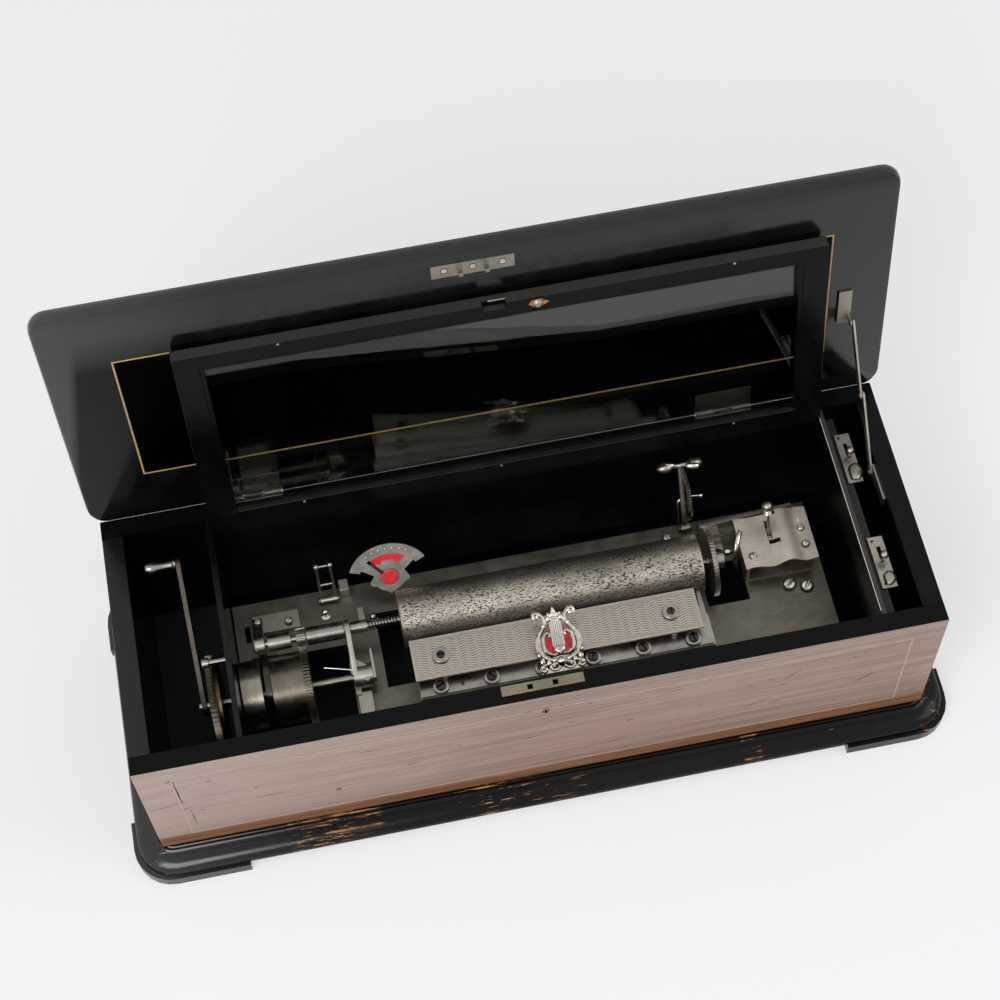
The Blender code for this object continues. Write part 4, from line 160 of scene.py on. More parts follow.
ebonyLook = {
    "base": "#030404",
    "dust": "#0c0d0d",
    "dustCover": (0.4, 0.72),
    "streak": "#1c1a19",
    "streakCover": (0.55, 0.75, 0, 0.35),
    # settled dust and painted top light: faces that turn up are paler, for dust and for the light from above
    "settledDustAndTopLight": "#55524e",
    "settledDustAndTopLightCover": (0.85, 0.95, 0, 0.55),
    "grainSize": 0.9,
    "grainLength": 60,
    "cloudSize": 60,
    "smearSize": 9,
    "smearCover": (0.14, 0.36),
    "roughness": (0.1, 0.26),
    # how strongly the polish mirrors at the left end and elsewhere, and where one turns into the other in metres
    "gloss": (0.12, 0.12),
    "leftEnd": (-0.36, -0.2),
    "wornSize": (34, 2.8, 1.5),
    "wornFrom": 0.7,
    "wornWood": ("#7a4a28", "#3d2413"),
    "wornWoodCover": (0.35, 0.65),
    # how sharply a chip ends, and the share of a chipped stretch that has lost the most
    "chipEdge": 0.012,
    "chipFull": 0.6,
    "bump": (0.05, 0.25),
}
# where the plinth has lost most polish: middle and half length in mm, and how much more it has lost
plinthChips = [(-190, 62, 0.125), (-20, 70, 0.1), (185, 12, 0.12), (352, 16, 0.09), (-350, 12, 0.06)]
# on the lid's inner face, in metres: painted shade of the dark things the polish mirrors, as the black field inside
# the line, as axis, start and end, and the duller part left of it, which has a slanting left side and soft top and
# right sides, with the share of gloss kept on each
lidPaintedShadeLook = {
    "field": [(0, -0.296, 0.2987), (2, 0.2427, 0.3799)],
    "fieldPaintedShadeColour": "#010101",
    "fieldPaintedShadeGloss": 0.06,
    "slant": 0.19,
    "left": (-0.404, -0.396),
    "top": (0.408, 0.372),
    "right": (-0.2, -0.26),
    "shadeGloss": 0.22,
    # how far a face has to turn to the front to count as inner, and how soft the field's edge is in mm
    "inner": (-0.4, -0.6),
    "fieldEdge": 0.2,
}


def makeEbonised(name, look, direction, worn=0, woodColour=None, gloss=None, dustAndTopLight=False, chips=(), lid=None):
    # Pearwood dyed black and French polished: deep black, soft mirror sheen, faint grain, chips down to the wood.
    material, tree, shader = startMaterial(name, {"IOR": 1.5})
    level = ranged(along(tree, 0), *look["leftEnd"], *(gloss or look["gloss"]))
    size = [look["grainSize"]] * 3
    size[direction] = look["grainLength"]
    cloud = cloudOf(tree, look["cloudSize"], 6, 0.62)
    grain = cloudOf(tree, size)
    colour = blended(ranged(cloud, *look["dustCover"]), look["base"], look["dust"])
    colour = blended(ranged(grain, *look["streakCover"]), colour, look["streak"])
    # settled dust and painted top light on the faces that turn up
    if dustAndTopLight:
        colour = blended(ranged(facing(tree, 2), *look["settledDustAndTopLightCover"]), colour, look["settledDustAndTopLight"])
    if worn:
        spots = cloudOf(tree, look["wornSize"], 8, 0.75)
        for middle, half, extra in chips:
            away = joined("ABSOLUTE", joined("SUBTRACT", along(tree, 0), middle * mm), 0)
            spots = joined("ADD", spots, ranged(away, half * mm, half * look["chipFull"] * mm, 0, extra))
        chip = ranged(spots, look["wornFrom"] - worn, look["wornFrom"] + look["chipEdge"] - worn)
        light, dark = look["wornWood"]
        colour = blended(chip, colour, blended(ranged(cloud, *look["wornWoodCover"]), woodColour or light, dark))
    # painted shade: the lid's inner face is darker and duller in a field inside the line and in a slanted patch left
    # of it
    if lid:
        inner = inside = ranged(facing(tree, 1), *lid["inner"])
        slant = joined("SUBTRACT", along(tree, 0), multiplied(along(tree, 2), lid["slant"]))
        shade = multiplied(ranged(slant, *lid["left"]), ranged(along(tree, 2), *lid["top"]), inner,
                           ranged(along(tree, 0), *lid["right"]))
        level = multiplied(level, ranged(shade, 0, 1, 1, lid["shadeGloss"]))
        for axis, start, end in lid["field"]:
            for edge, sign in ((start, 1), (end, -1)):
                step = sign * lid["fieldEdge"] * mm
                inside = multiplied(inside, ranged(along(tree, axis), edge, edge + step))
        colour = blended(inside, colour, lid["fieldPaintedShadeColour"])
        level = multiplied(level, ranged(inside, 0, 1, 1, lid["fieldPaintedShadeGloss"]))
    smear = cloudOf(tree, look["smearSize"], 5, 0.7)
    rough = ranged(multiplied(cloud, smear), *look["smearCover"], *look["roughness"])
    plugIn(shader, {"Base Color": colour, "Specular IOR Level": level, "Roughness": rough})
    bumpOn(shader, grain, *look["bump"])
    return material


rosewoodLook = {
    "grain": [(0, "#7c6257"), (0.35, "#957c70"), (0.65, "#a48c80"), (1, "#b69e92")],
    "crossband": [(0, "#6c4a35"), (0.5, "#8d6347"), (1, "#aa8160")],
    "figureSize": (150, 3.4, 3.4),
    "grainSize": (45, 0.9, 0.9),
    # a cloud's size, detail and roughness, the range over which its colour comes in and how far, and the colour
    "warm": ((160, 60, 60), 3, 0.55, (0.4, 0.65, 0, 0.35), "#a08175"),
    "stain": ((90, 22, 22), 5, 0.6, (0.55, 0.72, 0, 0.4), "#8d776c"),
    "pores": ((5, 0.3, 0.3), 2, 0.55, (0.58, 0.72, 0, 0.45), "#5d453b"),
    "knots": ((9, 6, 3.4), 6, 0.72, (0.735, 0.765, 0, 0.85), "#2c1c16"),
    # painted light: the paler left end: where it starts and is palest, in metres, how far, and the colour
    "paintedLightLeftEnd": (-0.02, -0.33, 0, 0.55),
    "paintedLightLeftColour": "#bfaaa1",
    "backColour": "#050606",
    "frontFace": -134.1 * mm,
    "crossbandTop": 44.5 * mm,
    "roughness": (0.3, 0.46),
    # how strongly the veneer and the ebonised wall behind it mirror
    "gloss": (0.28, 0.1),
    "bump": (0.05, 0.35),
}


def makeRosewood(look):
    # Sun-bleached French-polished rosewood veneer: mauve brown, fine long figure, open pores and a satin sheen,
    # with painted light that makes it paler towards the left end.
    # Below the string line the crossband keeps its warm brown, and behind the veneer the wall is ebonised.
    material, tree, shader = startMaterial("bleached rosewood veneer", {"IOR": 1.5})

    def tinted(colour, kind):
        size, detail, roughness, cover, tint = look[kind]
        cloud = cloudOf(tree, size, detail, roughness)
        return blended(ranged(cloud, *cover), colour, tint), cloud

    figure = cloudOf(tree, look["figureSize"], 4, 0.6)
    grain = cloudOf(tree, look["grainSize"], 7, 0.6)
    spread = ranged(weighed(figure, 0.9, grain, 0.7), 0.58, 1.05)
    veneer = addNode(tree, "ValToRGB", {"stops": look["grain"]}, {"Fac": spread}).outputs[0]
    veneer = tinted(veneer, "warm")[0]
    # painted light: paler towards the left end
    veneer = blended(ranged(along(tree, 0), *look["paintedLightLeftEnd"]), veneer, look["paintedLightLeftColour"])
    band = addNode(tree, "ValToRGB", {"stops": look["crossband"]}, {"Fac": spread}).outputs[0]
    isBand = ranged(along(tree, 2), look["crossbandTop"], look["crossbandTop"] - 0.3 * mm)
    colour = tinted(blended(isBand, veneer, band), "stain")[0]
    colour, pores = tinted(colour, "pores")
    colour = tinted(colour, "knots")[0]
    isBack = ranged(along(tree, 1), look["frontFace"], look["frontFace"] + 0.3 * mm)
    colour = blended(isBack, colour, look["backColour"])
    rough = multiplied(ranged(grain, 0.3, 0.7, *look["roughness"]), ranged(isBack, 0, 1, 1, 0.6))
    plugIn(shader, {"Base Color": colour, "Roughness": rough,
                    "Specular IOR Level": ranged(isBack, 0, 1, *look["gloss"])})
    bumpOn(shader, pores, *look["bump"])
    return material


metalLook = {
    # darker and lighter colour, roughness from and to, brushing cell in mm along x, y and z
    "satin nickel plate": ("#8e887e", "#b1aa9f", 0.26, 0.44, (0.5, 12, 0.5)),
    "nickel bed darkened as painted shade": ("#5a564f", "#7b766d", 0.3, 0.46, (12, 0.5, 0.5)),
    "turned nickel": ("#7d766d", "#a39b90", 0.2, 0.36, (0.35, 8, 8)),
    # painted shade: the bed's nickel is darker for the shade it lies in under the movement
    "ground steel": ("#77746e", "#a7a49d", 0.22, 0.38, (8, 0.4, 0.4)),
    "dark turned nickel": ("#58524a", "#80776c", 0.22, 0.38, (0.35, 8, 8)),
    "frosted nickel cover": ("#b9b0a3", "#dcd3c6", 0.4, 0.54, (8, 0.5, 0.5)),
    "dulled brass": ("#4b4230", "#786b4c", 0.28, 0.44, (0.4, 6, 6)),
    "aged brass plate": ("#6d6856", "#938c76", 0.36, 0.55, (6, 0.6, 0.6)),
    "spring steel": ("#6d6d6c", "#8f8e8c", 0.25, 0.4, (2, 0.5, 0.5)),
    "old silver": ("#aaa397", "#e6e0d5", 0.14, 0.28, (2, 2, 2)),
    "darkened screw steel": ("#2a2c2e", "#4a4c4d", 0.22, 0.36, (0.6, 3, 3)),
    "dark crank steel": ("#36322d", "#534d46", 0.34, 0.5, (0.5, 6, 6)),
}
tarnishLook = {
    "filmSize": 30,
    "stainSize": 7,
    "cover": (0.62, 0.74, 0, 0.55),
    "brown": "#4a4238",
    "silver": "#6b5f50",
    "bump": (0.02, 0.3),
}


def makeMetal(finish, tarnish=tarnishLook["brown"], name=None):
    # Plated or ground metal: fine brushing in its bump, and a thin film of handling that dulls it in places.
    dark, light, low, high, brushing = metalLook[finish]
    material, tree, shader = startMaterial(name or finish, {"Metallic": 1})
    film = cloudOf(tree, tarnishLook["filmSize"], 6, 0.6)
    brushed = cloudOf(tree, brushing, 3)
    colour = blended(ranged(weighed(film, 0.6, brushed, 0.4), 0.36, 0.64), dark, light)
    stain = cloudOf(tree, tarnishLook["stainSize"], 7, 0.7)
    colour = blended(ranged(stain, *tarnishLook["cover"]), colour, tarnish)
    rough = ranged(joined("ADD", film, stain), 0.75, 1.2, low, high)
    plugIn(shader, {"Base Color": colour, "Roughness": rough})
    bumpOn(shader, brushed, *tarnishLook["bump"])
    return material, tree, shader, colour


ratchetLook = {"steelFrom": -0.2728, "steel": "#75716b"}


def makeRatchetMetal(look):
    # Steel ratchet teeth riveted to a dull brass disc: the disc is the part nearer the wall.
    material, tree, shader, colour = makeMetal("dulled brass", name="steel ratchet on dulled brass")
    isSteel = ranged(along(tree, 0), look["steelFrom"] + 0.1 * mm, look["steelFrom"])
    plugIn(shader, {"Base Color": blended(isSteel, colour, look["steel"])})
    return material


pinnedLook = {
    "dashSize": (2.8, 1, 1),
    "dash": "#3e3932",
    "cover": (0.545, 0.6),
    "patchSize": (26, 14, 14),
    "sheenSize": (60, 22, 22),
    "skin": ("#8d867b", "#bab2a5"),
    # of the skin and of the dashes
    "roughness": (0.38, 0.7),
    "bump": (0.25, 0.7),
}


def makePinned(look):
    # Pinned tune cylinder: dull nickel-washed skin, thick with the dark dashes of its pins and their shadows.
    material, tree, shader, colour = makeMetal("turned nickel", name="pinned cylinder skin")
    dashes = cloudOf(tree, look["dashSize"], 2, 0.6)
    patches = ranged(cloudOf(tree, look["patchSize"]), 0.35, 0.65, -0.03, 0.03)
    mask = ranged(joined("ADD", dashes, patches), *look["cover"])
    skin = blended(ranged(cloudOf(tree, look["sheenSize"]), 0.35, 0.65), *look["skin"])
    plugIn(shader, {"Base Color": blended(mask, skin, look["dash"]),
                    "Roughness": ranged(mask, 0, 1, *look["roughness"])})
    bumpOn(shader, mask, *look["bump"])
    return material


engineLook = {
    "waveEvery": 2.3,
    "waveDeep": 0.9,
    "waveLong": 13,
    "columnEvery": 8.4,
    "plainEdge": 4.5,
    "colours": ("#8b847a", "#cdc5ba"),
    "bump": (0.1, 0.8),
}


def makeEngineTurned(look, box):
    # Nickel-plated sheet cut on a rose engine: fine wavy lines in columns, with a plain edge.
    material, tree, shader, colour = makeMetal("satin nickel plate", name="engine-turned nickel plate")
    x, y = along(tree, 0), along(tree, 1)
    line = joined("ADD", y, multiplied(waved(x, look["waveLong"]), look["waveDeep"] * mm))
    wave = waved(line, look["waveEvery"])
    column = ranged(waved(x, look["columnEvery"]), -1, 1, 0.35, 1)
    inside = 1
    for place, low, high in ((x, box[0][0], box[1][0]), (y, box[0][1], box[1][1])):
        for edge, sign in ((low, 1), (high, -1)):
            start = edge + sign * look["plainEdge"] * mm
            inside = multiplied(ranged(place, start, start + sign * 0.3 * mm), inside)
    cut = multiplied(wave, column, inside)
    plugIn(shader, {"Base Color": blended(ranged(cut, -1, 1), *look["colours"])})
    bumpOn(shader, cut, *look["bump"])
    return material


dialSilverLook = {"cloudSize": 9, "speckleSize": 0.9, "colours": ("#918d86", "#b9b5ad"), "bump": (0.03, 0.4)}


def makeDialSilver(look):
    # Silvered dial brass: a chalky frosted grey that spreads the light, with darker clouds of handling.
    material, tree, shader = startMaterial("silvered dial plate", {"Metallic": 0.35, "Roughness": 0.5})
    cloud = cloudOf(tree, look["cloudSize"], 6, 0.65)
    speckle = cloudOf(tree, look["speckleSize"], 3)
    tone = ranged(weighed(cloud, 0.7, speckle, 0.3), 0.38, 0.62)
    plugIn(shader, {"Base Color": blended(tone, *look["colours"])})
    bumpOn(shader, speckle, *look["bump"])
    return material


pineLook = {
    "ringSize": (180, 6, 6),
    "rings": [(0.3, "#6e4f30"), (0.55, "#9a7648"), (0.75, "#b08d5c")],
    "stain": "#050505",
    "bump": (0.1, 0.4),
}


def makeBareWood(look):
    # Bare pine underneath, with late-wood lines along the board, and black on its upward face, the side that shows.
    material, tree, shader = startMaterial("bare pine board", {"IOR": 1.5, "Roughness": 0.7})
    rings = cloudOf(tree, look["ringSize"], 5)
    colour = addNode(tree, "ValToRGB", {"stops": look["rings"]}, {"Fac": rings}).outputs[0]
    # black on the upward face
    colour = blended(ranged(facing(tree, 2), 0.4, 0.6), colour, look["stain"])
    plugIn(shader, {"Base Color": colour})
    bumpOn(shader, rings, *look["bump"])
    return material


glassLook = {
    "colour": "#e9f1ec",
    "dustSize": 40,
    # how far the pane leans, in radians, at two places along the case in metres, and the height it leans about
    "leanFrom": (0.1, -0.15),
    "lean": (0.006, 0.043),
    "aboutZ": 0.37,
    "rippleSize": 60,
    "rippleDeep": 0.08,
}


def makeGlass(look):
    # Old drawn window glass: clear, faintly green, with a breath of dust. It is a little wound towards its
    # left end, so the floor shows in it as a wedge and not as a band.
    material, tree, shader = startMaterial("old clear window glass", {
        "Base Color": look["colour"], "Transmission Weight": 1, "IOR": 1.5})
    dust = cloudOf(tree, look["dustSize"], 5)
    plugIn(shader, {"Roughness": ranged(dust, 0.4, 0.8, 0, 0.05)})
    lean = ranged(along(tree, 0), *look["leanFrom"], *look["lean"])
    wound = multiplied(joined("SUBTRACT", along(tree, 2), look["aboutZ"]), lean)
    ripples = multiplied(cloudOf(tree, look["rippleSize"], 1), look["rippleDeep"] * mm)
    # the height is in metres, so the bump's distance is one metre
    bumpOn(shader, joined("ADD", wound, ripples), 1000, 1)
    return material


coatLook = {
    # two colours, roughness, sheen, cell in mm and detail of their cloud, and how strongly a 0.4 mm weave stands out
    "boxwood line inlay": ("#b48a4c", "#d6ae6a", 0.35, 0, (12, 1, 1), 5, 0),
    "sun-faded line inlay": ("#ad998e", "#c9b8ad", 0.45, 0, (10, 1, 1), 5, 0),
    "glued red cloth": ("#8c1620", "#c02a32", 0.8, 0.4, 6, 4, 0.7),
    "red enamel": ("#e02f36", "#f4474b", 0.3, 0, 6, 4, 0.1),
    # the cream also paints a highlight along the control ledge's edge
    "cream enamel dots and painted edge highlight": ("#d9d2c9", "#f3eee7", 0.35, 0, 6, 4, 0.1),
    "bare wood where polish is lost": ("#9c4a22", "#d8894e", 0.7, 0, 6, 4, 0.1),
}


def makeCoat(name):
    # Honey and faded line inlay with fine grain, soft woven red cloth, wet-looking enamel, and raw orange wood.
    low, high, roughness, sheen, size, detail, weave = coatLook[name]
    material, tree, shader = startMaterial(name, {"IOR": 1.5, "Roughness": roughness, "Sheen Weight": sheen})
    cloud = cloudOf(tree, size, detail)
    plugIn(shader, {"Base Color": blended(ranged(cloud, 0.35, 0.65), low, high)})
    if weave:
        bumpOn(shader, cloudOf(tree, 0.4, 2), 0.12, weave)
    return material


def makeDarkFill():
    # Old grease and soot in marks and cracks, and painted shade in the countersinks round screw heads: almost black,
    # with a dull wet shine in places.
    material, tree, shader = startMaterial("old dark grease and painted recess shade", {"IOR": 1.5})
    cloud = cloudOf(tree, 3, 5)
    plugIn(shader, {"Base Color": blended(cloud, "#0c0a09", "#2a241f"),
                    "Roughness": ranged(cloud, 0.3, 0.7, 0.4, 0.8)})
    return material


ebonyAlongX = makeEbonised("ebonised pearwood, grain along the case", ebonyLook, 0)
ebonyAcross = makeEbonised("ebonised pearwood, grain across the case", ebonyLook, 1, 0.015, gloss=(0.42, 0.12))
ebonyBead = makeEbonised("ebonised pearwood bead", ebonyLook, 0)
ebonyLid = makeEbonised("ebonised lid with a full polish", ebonyLook, 0, gloss=(0.95, 0.48), lid=lidPaintedShadeLook)
ebonyWorn = makeEbonised("ebonised moulding with chipped polish", ebonyLook, 0, 0.02, "#e0a468", (0.62, 0.18),
                         chips=plinthChips)
ebonyDustAndTopLight = makeEbonised("ebonised frame with dust and painted light on its top edges", ebonyLook, 0, 0.02, gloss=(0.1, 0.12), dustAndTopLight=True)
ebonyLedge = makeEbonised("ebonised ledge with settled dust and painted top light", ebonyLook, 1, 0.015, dustAndTopLight=True)
rosewood = makeRosewood(rosewoodLook)
barePine = makeBareWood(pineLook)
nickel, turnedNickel, barrelNickel, coverNickel, bedNickelInPaintedShade = (makeMetal(finish)[0] for finish in (
    "satin nickel plate", "turned nickel", "dark turned nickel", "frosted nickel cover", "nickel bed darkened as painted shade"))
steel, springSteel, darkSteel, crankSteel = (makeMetal(finish)[0] for finish in (
    "ground steel", "spring steel", "darkened screw steel", "dark crank steel"))
brass, agedBrass = (makeMetal(finish)[0] for finish in ("dulled brass", "aged brass plate"))
silver = makeMetal("old silver", tarnishLook["silver"])[0]
ratchetMetal = makeRatchetMetal(ratchetLook)
engineTurned = makeEngineTurned(engineLook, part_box("zither_cover"))
pinnedSkin = makePinned(pinnedLook)
dialSilver = makeDialSilver(dialSilverLook)
windowGlass = makeGlass(glassLook)
stringing, paleStringing, redCloth, redEnamel, dotEnamelAndEdgeHighlight, wornWood = (makeCoat(name) for name in coatLook)
darkFill = makeDarkFill()

finishOf = {
    rosewood: ["case_front"],
    ebonyAlongX: ["case_back"],
    ebonyDustAndTopLight: ["glass_frame"],
    ebonyLid: ["lid_panel"],
    ebonyAcross: ["case_side_left", "case_side_right", "partition_left"],
    ebonyLedge: ["partition_right"],
    ebonyWorn: ["plinth"],
    barePine: ["bottom_board"],
    turnedNickel: ["winding_arbor"],
    barrelNickel: ["spring_barrel"],
    coverNickel: ["governor_cover"],
    darkSteel: ["arbor_spring"],
    pinnedSkin: ["cylinder"],
    bedNickelInPaintedShade: ["bedplate", "barrel_bracket"],
    dialSilver: ["tune_dial"],
    crankSteel: ["winding_lever"],
    steel: ["winding_handle", "comb", "lock_bolt", "cylinder_arbor", "click_pawl", "detent_blade", "tune_pointer"],
    ratchetMetal: ["ratchet_wheel"],
    brass: ["governor_wheel", "fly"],
    agedBrass: ["lock_plate"],
    springSteel: ["mainspring"],
    engineTurned: ["zither_cover"],
    silver: ["lyre_handle"],
    windowGlass: ["glass_pane"],
}
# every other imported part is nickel-plated
finishFor = {name: material for material, names in finishOf.items() for name in names}
for name, node in nodes.items():
    node.data.materials.clear()
    node.data.materials.append(finishFor.get(name, nickel))
print("materials are on the packed parts")


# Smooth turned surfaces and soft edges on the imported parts

softLook = {
    "creaseDegrees": 35,
    "mergeWithin": 0.001,
    "woodEdge": 0.45,
    "metalEdge": 0.18,
    "wood": ["case_front", "case_back", "case_side_left", "case_side_right", "lid_panel", "glass_frame",
             "partition_left", "partition_right", "plinth"],
    "plainEdges": ["lid_panel", "case_back", "glass_pane", "comb", "mainspring", "arbor_spring", "plinth",
                   "cylinder", "bottom_board"],
}


def makeSmoothing(look):
    group = bpy.data.node_groups.new("smoothTurnedSurfaces", "GeometryNodeTree")
    for way in ("INPUT", "OUTPUT"):
        group.interface.new_socket("Geometry", in_out=way, socket_type="NodeSocketGeometry")
    start, merge, faces, edges, angle, less, end = (group.nodes.new(kind) for kind in (
        "NodeGroupInput", "GeometryNodeMergeByDistance", "GeometryNodeSetShadeSmooth", "GeometryNodeSetShadeSmooth",
        "GeometryNodeInputMeshEdgeAngle", "FunctionNodeCompare", "NodeGroupOutput"))
    merge.inputs["Distance"].default_value = look["mergeWithin"] * mm
    edges.domain = "EDGE"
    less.operation = "LESS_THAN"
    less.inputs["B"].default_value = math.radians(look["creaseDegrees"])
    for giver, output, taker, socket in (
            (start, 0, merge, "Geometry"), (merge, 0, faces, "Geometry"), (faces, 0, edges, "Geometry"),
            (angle, "Unsigned Angle", less, "A"), (less, 0, edges, "Shade Smooth"), (edges, 0, end, 0)):
        group.links.new(giver.outputs[output], taker.inputs[socket])
    return group


def softenEdges(thing, widthMm, **more):
    soft = thing.modifiers.new("softEdge", "BEVEL")
    for key, value in {"width": widthMm * mm, "segments": 2, "limit_method": "ANGLE", **more}.items():
        setattr(soft, key, value)


smoothing = makeSmoothing(softLook)
for name, node in nodes.items():
    node.modifiers.new("smoothTurned", "NODES").node_group = smoothing
    if name not in softLook["plainEdges"]:
        softenEdges(node, softLook["woodEdge" if name in softLook["wood"] else "metalEdge"],
                    angle_limit=math.radians(40), harden_normals=True)
print("edges of the packed parts are softened")


# Shape tools. Each shape is a list of points and a list of faces, and an outline is a list of pairs in mm.

def ringed(rings, closed=False):
    # joins rings of equal length into a skin, with a face on each end if it isn't closed
    count = len(rings[0])
    points = [point for ring in rings for point in ring]
    pairs = [(i, (i + 1) % len(rings)) for i in range(len(rings) if closed else len(rings) - 1)]
    faces = [(a * count + j, a * count + (j + 1) % count, b * count + (j + 1) % count, b * count + j)
             for a, b in pairs for j in range(count)]
    if not closed:
        faces.append(tuple(range(count))[::-1])
        faces.append(tuple((len(rings) - 1) * count + j for j in range(count)))
    return points, faces


def crossWays(axis):
    side = axis.cross(backWay if abs(axis.y) < 0.9 else upWay).normalized()
    return side, axis.cross(side).normalized()


def evenTurns(steps):
    return [2 * math.pi * i / steps for i in range(steps)]


def polar(radius, turn):
    return radius * math.cos(turn), radius * math.sin(turn)


def leaned(outline, lean, middle):
    # an outline turned by lean and moved to middle
    across, up = middle
    return [(across + a * math.cos(lean) - b * math.sin(lean), up + a * math.sin(lean) + b * math.cos(lean))
            for a, b in outline]


def onOval(middle, wide, tall, turn):
    # the point at one turn of an oval with half sizes wide and tall
    return middle[0] + wide * math.cos(turn), middle[1] + tall * math.sin(turn)


def ballProfile(radius, steps, first=0, middle=None):
    middle = radius if middle is None else middle
    return [(radius * math.sin(math.pi * i / steps), middle - radius * math.cos(math.pi * i / steps))
            for i in range(first, steps + 1)]


def turnedShape(base, axis, profile, steps=32):
    # profile is a list of radius and height in mm, from the foot to the top
    axis = Vector(axis).normalized()
    side, other = crossWays(axis)
    rings = []
    for radius, height in profile:
        middle = Vector(base) + axis * height * mm
        rings.append([middle + (side * math.cos(t) + other * math.sin(t)) * max(radius, 0.02) * mm
                      for t in evenTurns(steps)])
    return ringed(rings)


def sweptShape(path, radius, steps=8, flat=1):
    # a round bar along a path; radius in mm is one number or one for each point
    path = [Vector(point) for point in path]
    radii = radius if isinstance(radius, (list, tuple)) else [radius] * len(path)
    rings = []
    side = None
    for i, point in enumerate(path):
        ahead = (path[min(i + 1, len(path) - 1)] - path[max(i - 1, 0)]).normalized()
        side = crossWays(ahead)[0] if side is None else (side - ahead * side.dot(ahead)).normalized()
        other = ahead.cross(side).normalized()
        rings.append([point + (side * math.cos(t) + other * math.sin(t) * flat) * radii[i] * mm
                      for t in evenTurns(steps)])
    return ringed(rings)


def slabShape(outline, place, low, high, hole=None):
    # a flat plate; place(a, b, h) in mm gives the world point, and hole is an outline of as many points
    if hole is None:
        return ringed([[place(a, b, h) for a, b in outline] for h in (low, high)])
    loops = [(outline, low), (outline, high), (hole, high), (hole, low)]
    return ringed([[place(a, b, h) for a, b in loop] for loop, h in loops], closed=True)


def crownedShape(outline, place, low, high):
    # a pillowed plate: each ring is the outline drawn in, and raised by a share of the height
    middleA = sum(a for a, b in outline) / len(outline)
    middleB = sum(b for a, b in outline) / len(outline)
    rings = [[place(a, b, low) for a, b in outline]]
    for share, rise in ((1, 0), (0.94, 0.55), (0.8, 0.85), (0.45, 1)):
        height = low + (high - low) * (0.35 + 0.65 * rise)
        rings.append([place(middleA + (a - middleA) * share, middleB + (b - middleB) * share, height)
                      for a, b in outline])
    return ringed(rings)


def circleOutline(radius, steps=32, middle=(0, 0)):
    return leaned([polar(radius, turn) for turn in evenTurns(steps)], 0, middle)


def boxOutline(box, grow=0):
    x0, y0, x1, y1 = box
    return [(x0 - grow, y0 - grow), (x1 + grow, y0 - grow), (x1 + grow, y1 + grow), (x0 - grow, y1 + grow)]


def lineShape(box, place, low, high, inner, outer):
    # a flat line round a box, from inner to outer mm beyond it
    return slabShape(boxOutline(box, outer), place, low, high, boxOutline(box, inner))


def smoothPath(points, cuts=5):
    # a smooth line through the points, in as many dimensions as they have
    points = [Vector(point) for point in points]
    line = []
    for i in range(len(points) - 1):
        before, start = points[max(i - 1, 0)], points[i]
        end, after = points[i + 1], points[min(i + 2, len(points) - 1)]
        for k in range(cuts):
            t = k / cuts
            line.append(0.5 * (2 * start + (end - before) * t + (2 * before - 5 * start + 4 * end - after) * t ** 2
                               + (3 * start - before - 3 * end + after) * t ** 3))
    return line + [points[-1]]


def inMetres(points):
    return [Vector(point) * mm for point in points]


def planeAt(origin, across, upward):
    # gives place(a, b, h) in mm on a plane through origin
    origin, across, upward = Vector(origin), Vector(across).normalized(), Vector(upward).normalized()
    outward = across.cross(upward)
    return lambda a, b, h=0: origin + (across * a + upward * b + outward * h) * mm


levelPlane = planeAt((0, 0, 0), rightWay, backWay)


def addPiece(name, body, material, shapes, bevel=0):
    points, faces = [], []
    for shapePoints, shapeFaces in shapes:
        faces += [tuple(len(points) + i for i in face) for face in shapeFaces]
        points += shapePoints
    mesh = bpy.data.meshes.new(name)
    mesh.from_pydata([tuple(point) for point in points], [], faces)
    mesh.materials.append(material)
    work = bmesh.new()
    work.from_mesh(mesh)
    bmesh.ops.recalc_face_normals(work, faces=work.faces)
    work.to_mesh(mesh)
    work.free()
    mesh.shade_smooth()
    mesh.set_sharp_from_angle(angle=math.radians(softLook["creaseDegrees"]))
    piece = bpy.data.objects.new(name, mesh)
    bpy.context.scene.collection.objects.link(piece)
    if bevel:
        softenEdges(piece, bevel)
    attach(piece, body)
    return piece


def landOn(nodeName, place, way=(0, 0, -1)):
    # the point where a line from 0.2 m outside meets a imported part
    start = Vector(place) - Vector(way).normalized() * 0.2
    hit, point, normal, index = nodes[nodeName].ray_cast(start, Vector(way))
    return point if hit else Vector(place)


def landFrom(nodeName, x, y):
    # the same from above, at x and y in mm
    return landOn(nodeName, (x * mm, y * mm, 0))


def slottedHead(base, axis, radius, height, turnDegrees, slot=0.8, domed=0):
    # a screw head in mm with a cut across it: a foot disc and two half moons
    axis = Vector(axis).normalized()
    side, other = crossWays(axis)
    turn = math.radians(turnDegrees)
    across = side * math.cos(turn) + other * math.sin(turn)
    place = planeAt(base, across, axis.cross(across))
    shapes = [turnedShape(base, axis, [(radius, 0), (radius, height * 0.5)])]
    start = math.asin(slot / 2 / radius)
    for sign in (1, -1):
        half = [polar(radius, sign * (start + (math.pi - 2 * start) * i / 12)) for i in range(13)][::sign]
        shapes.append(crownedShape(half, place, height * 0.5, height + domed) if domed else
                      slabShape(half, place, height * 0.5, height))
    return shapes


def sunkRing(base, axis, radius):
    # painted shade: a dark ring for the shade in the countersink that shows round a screw head
    return turnedShape(base, axis, [(radius + 0.7, -0.2), (radius + 0.7, 0.05), (radius, 0.07)], 28)


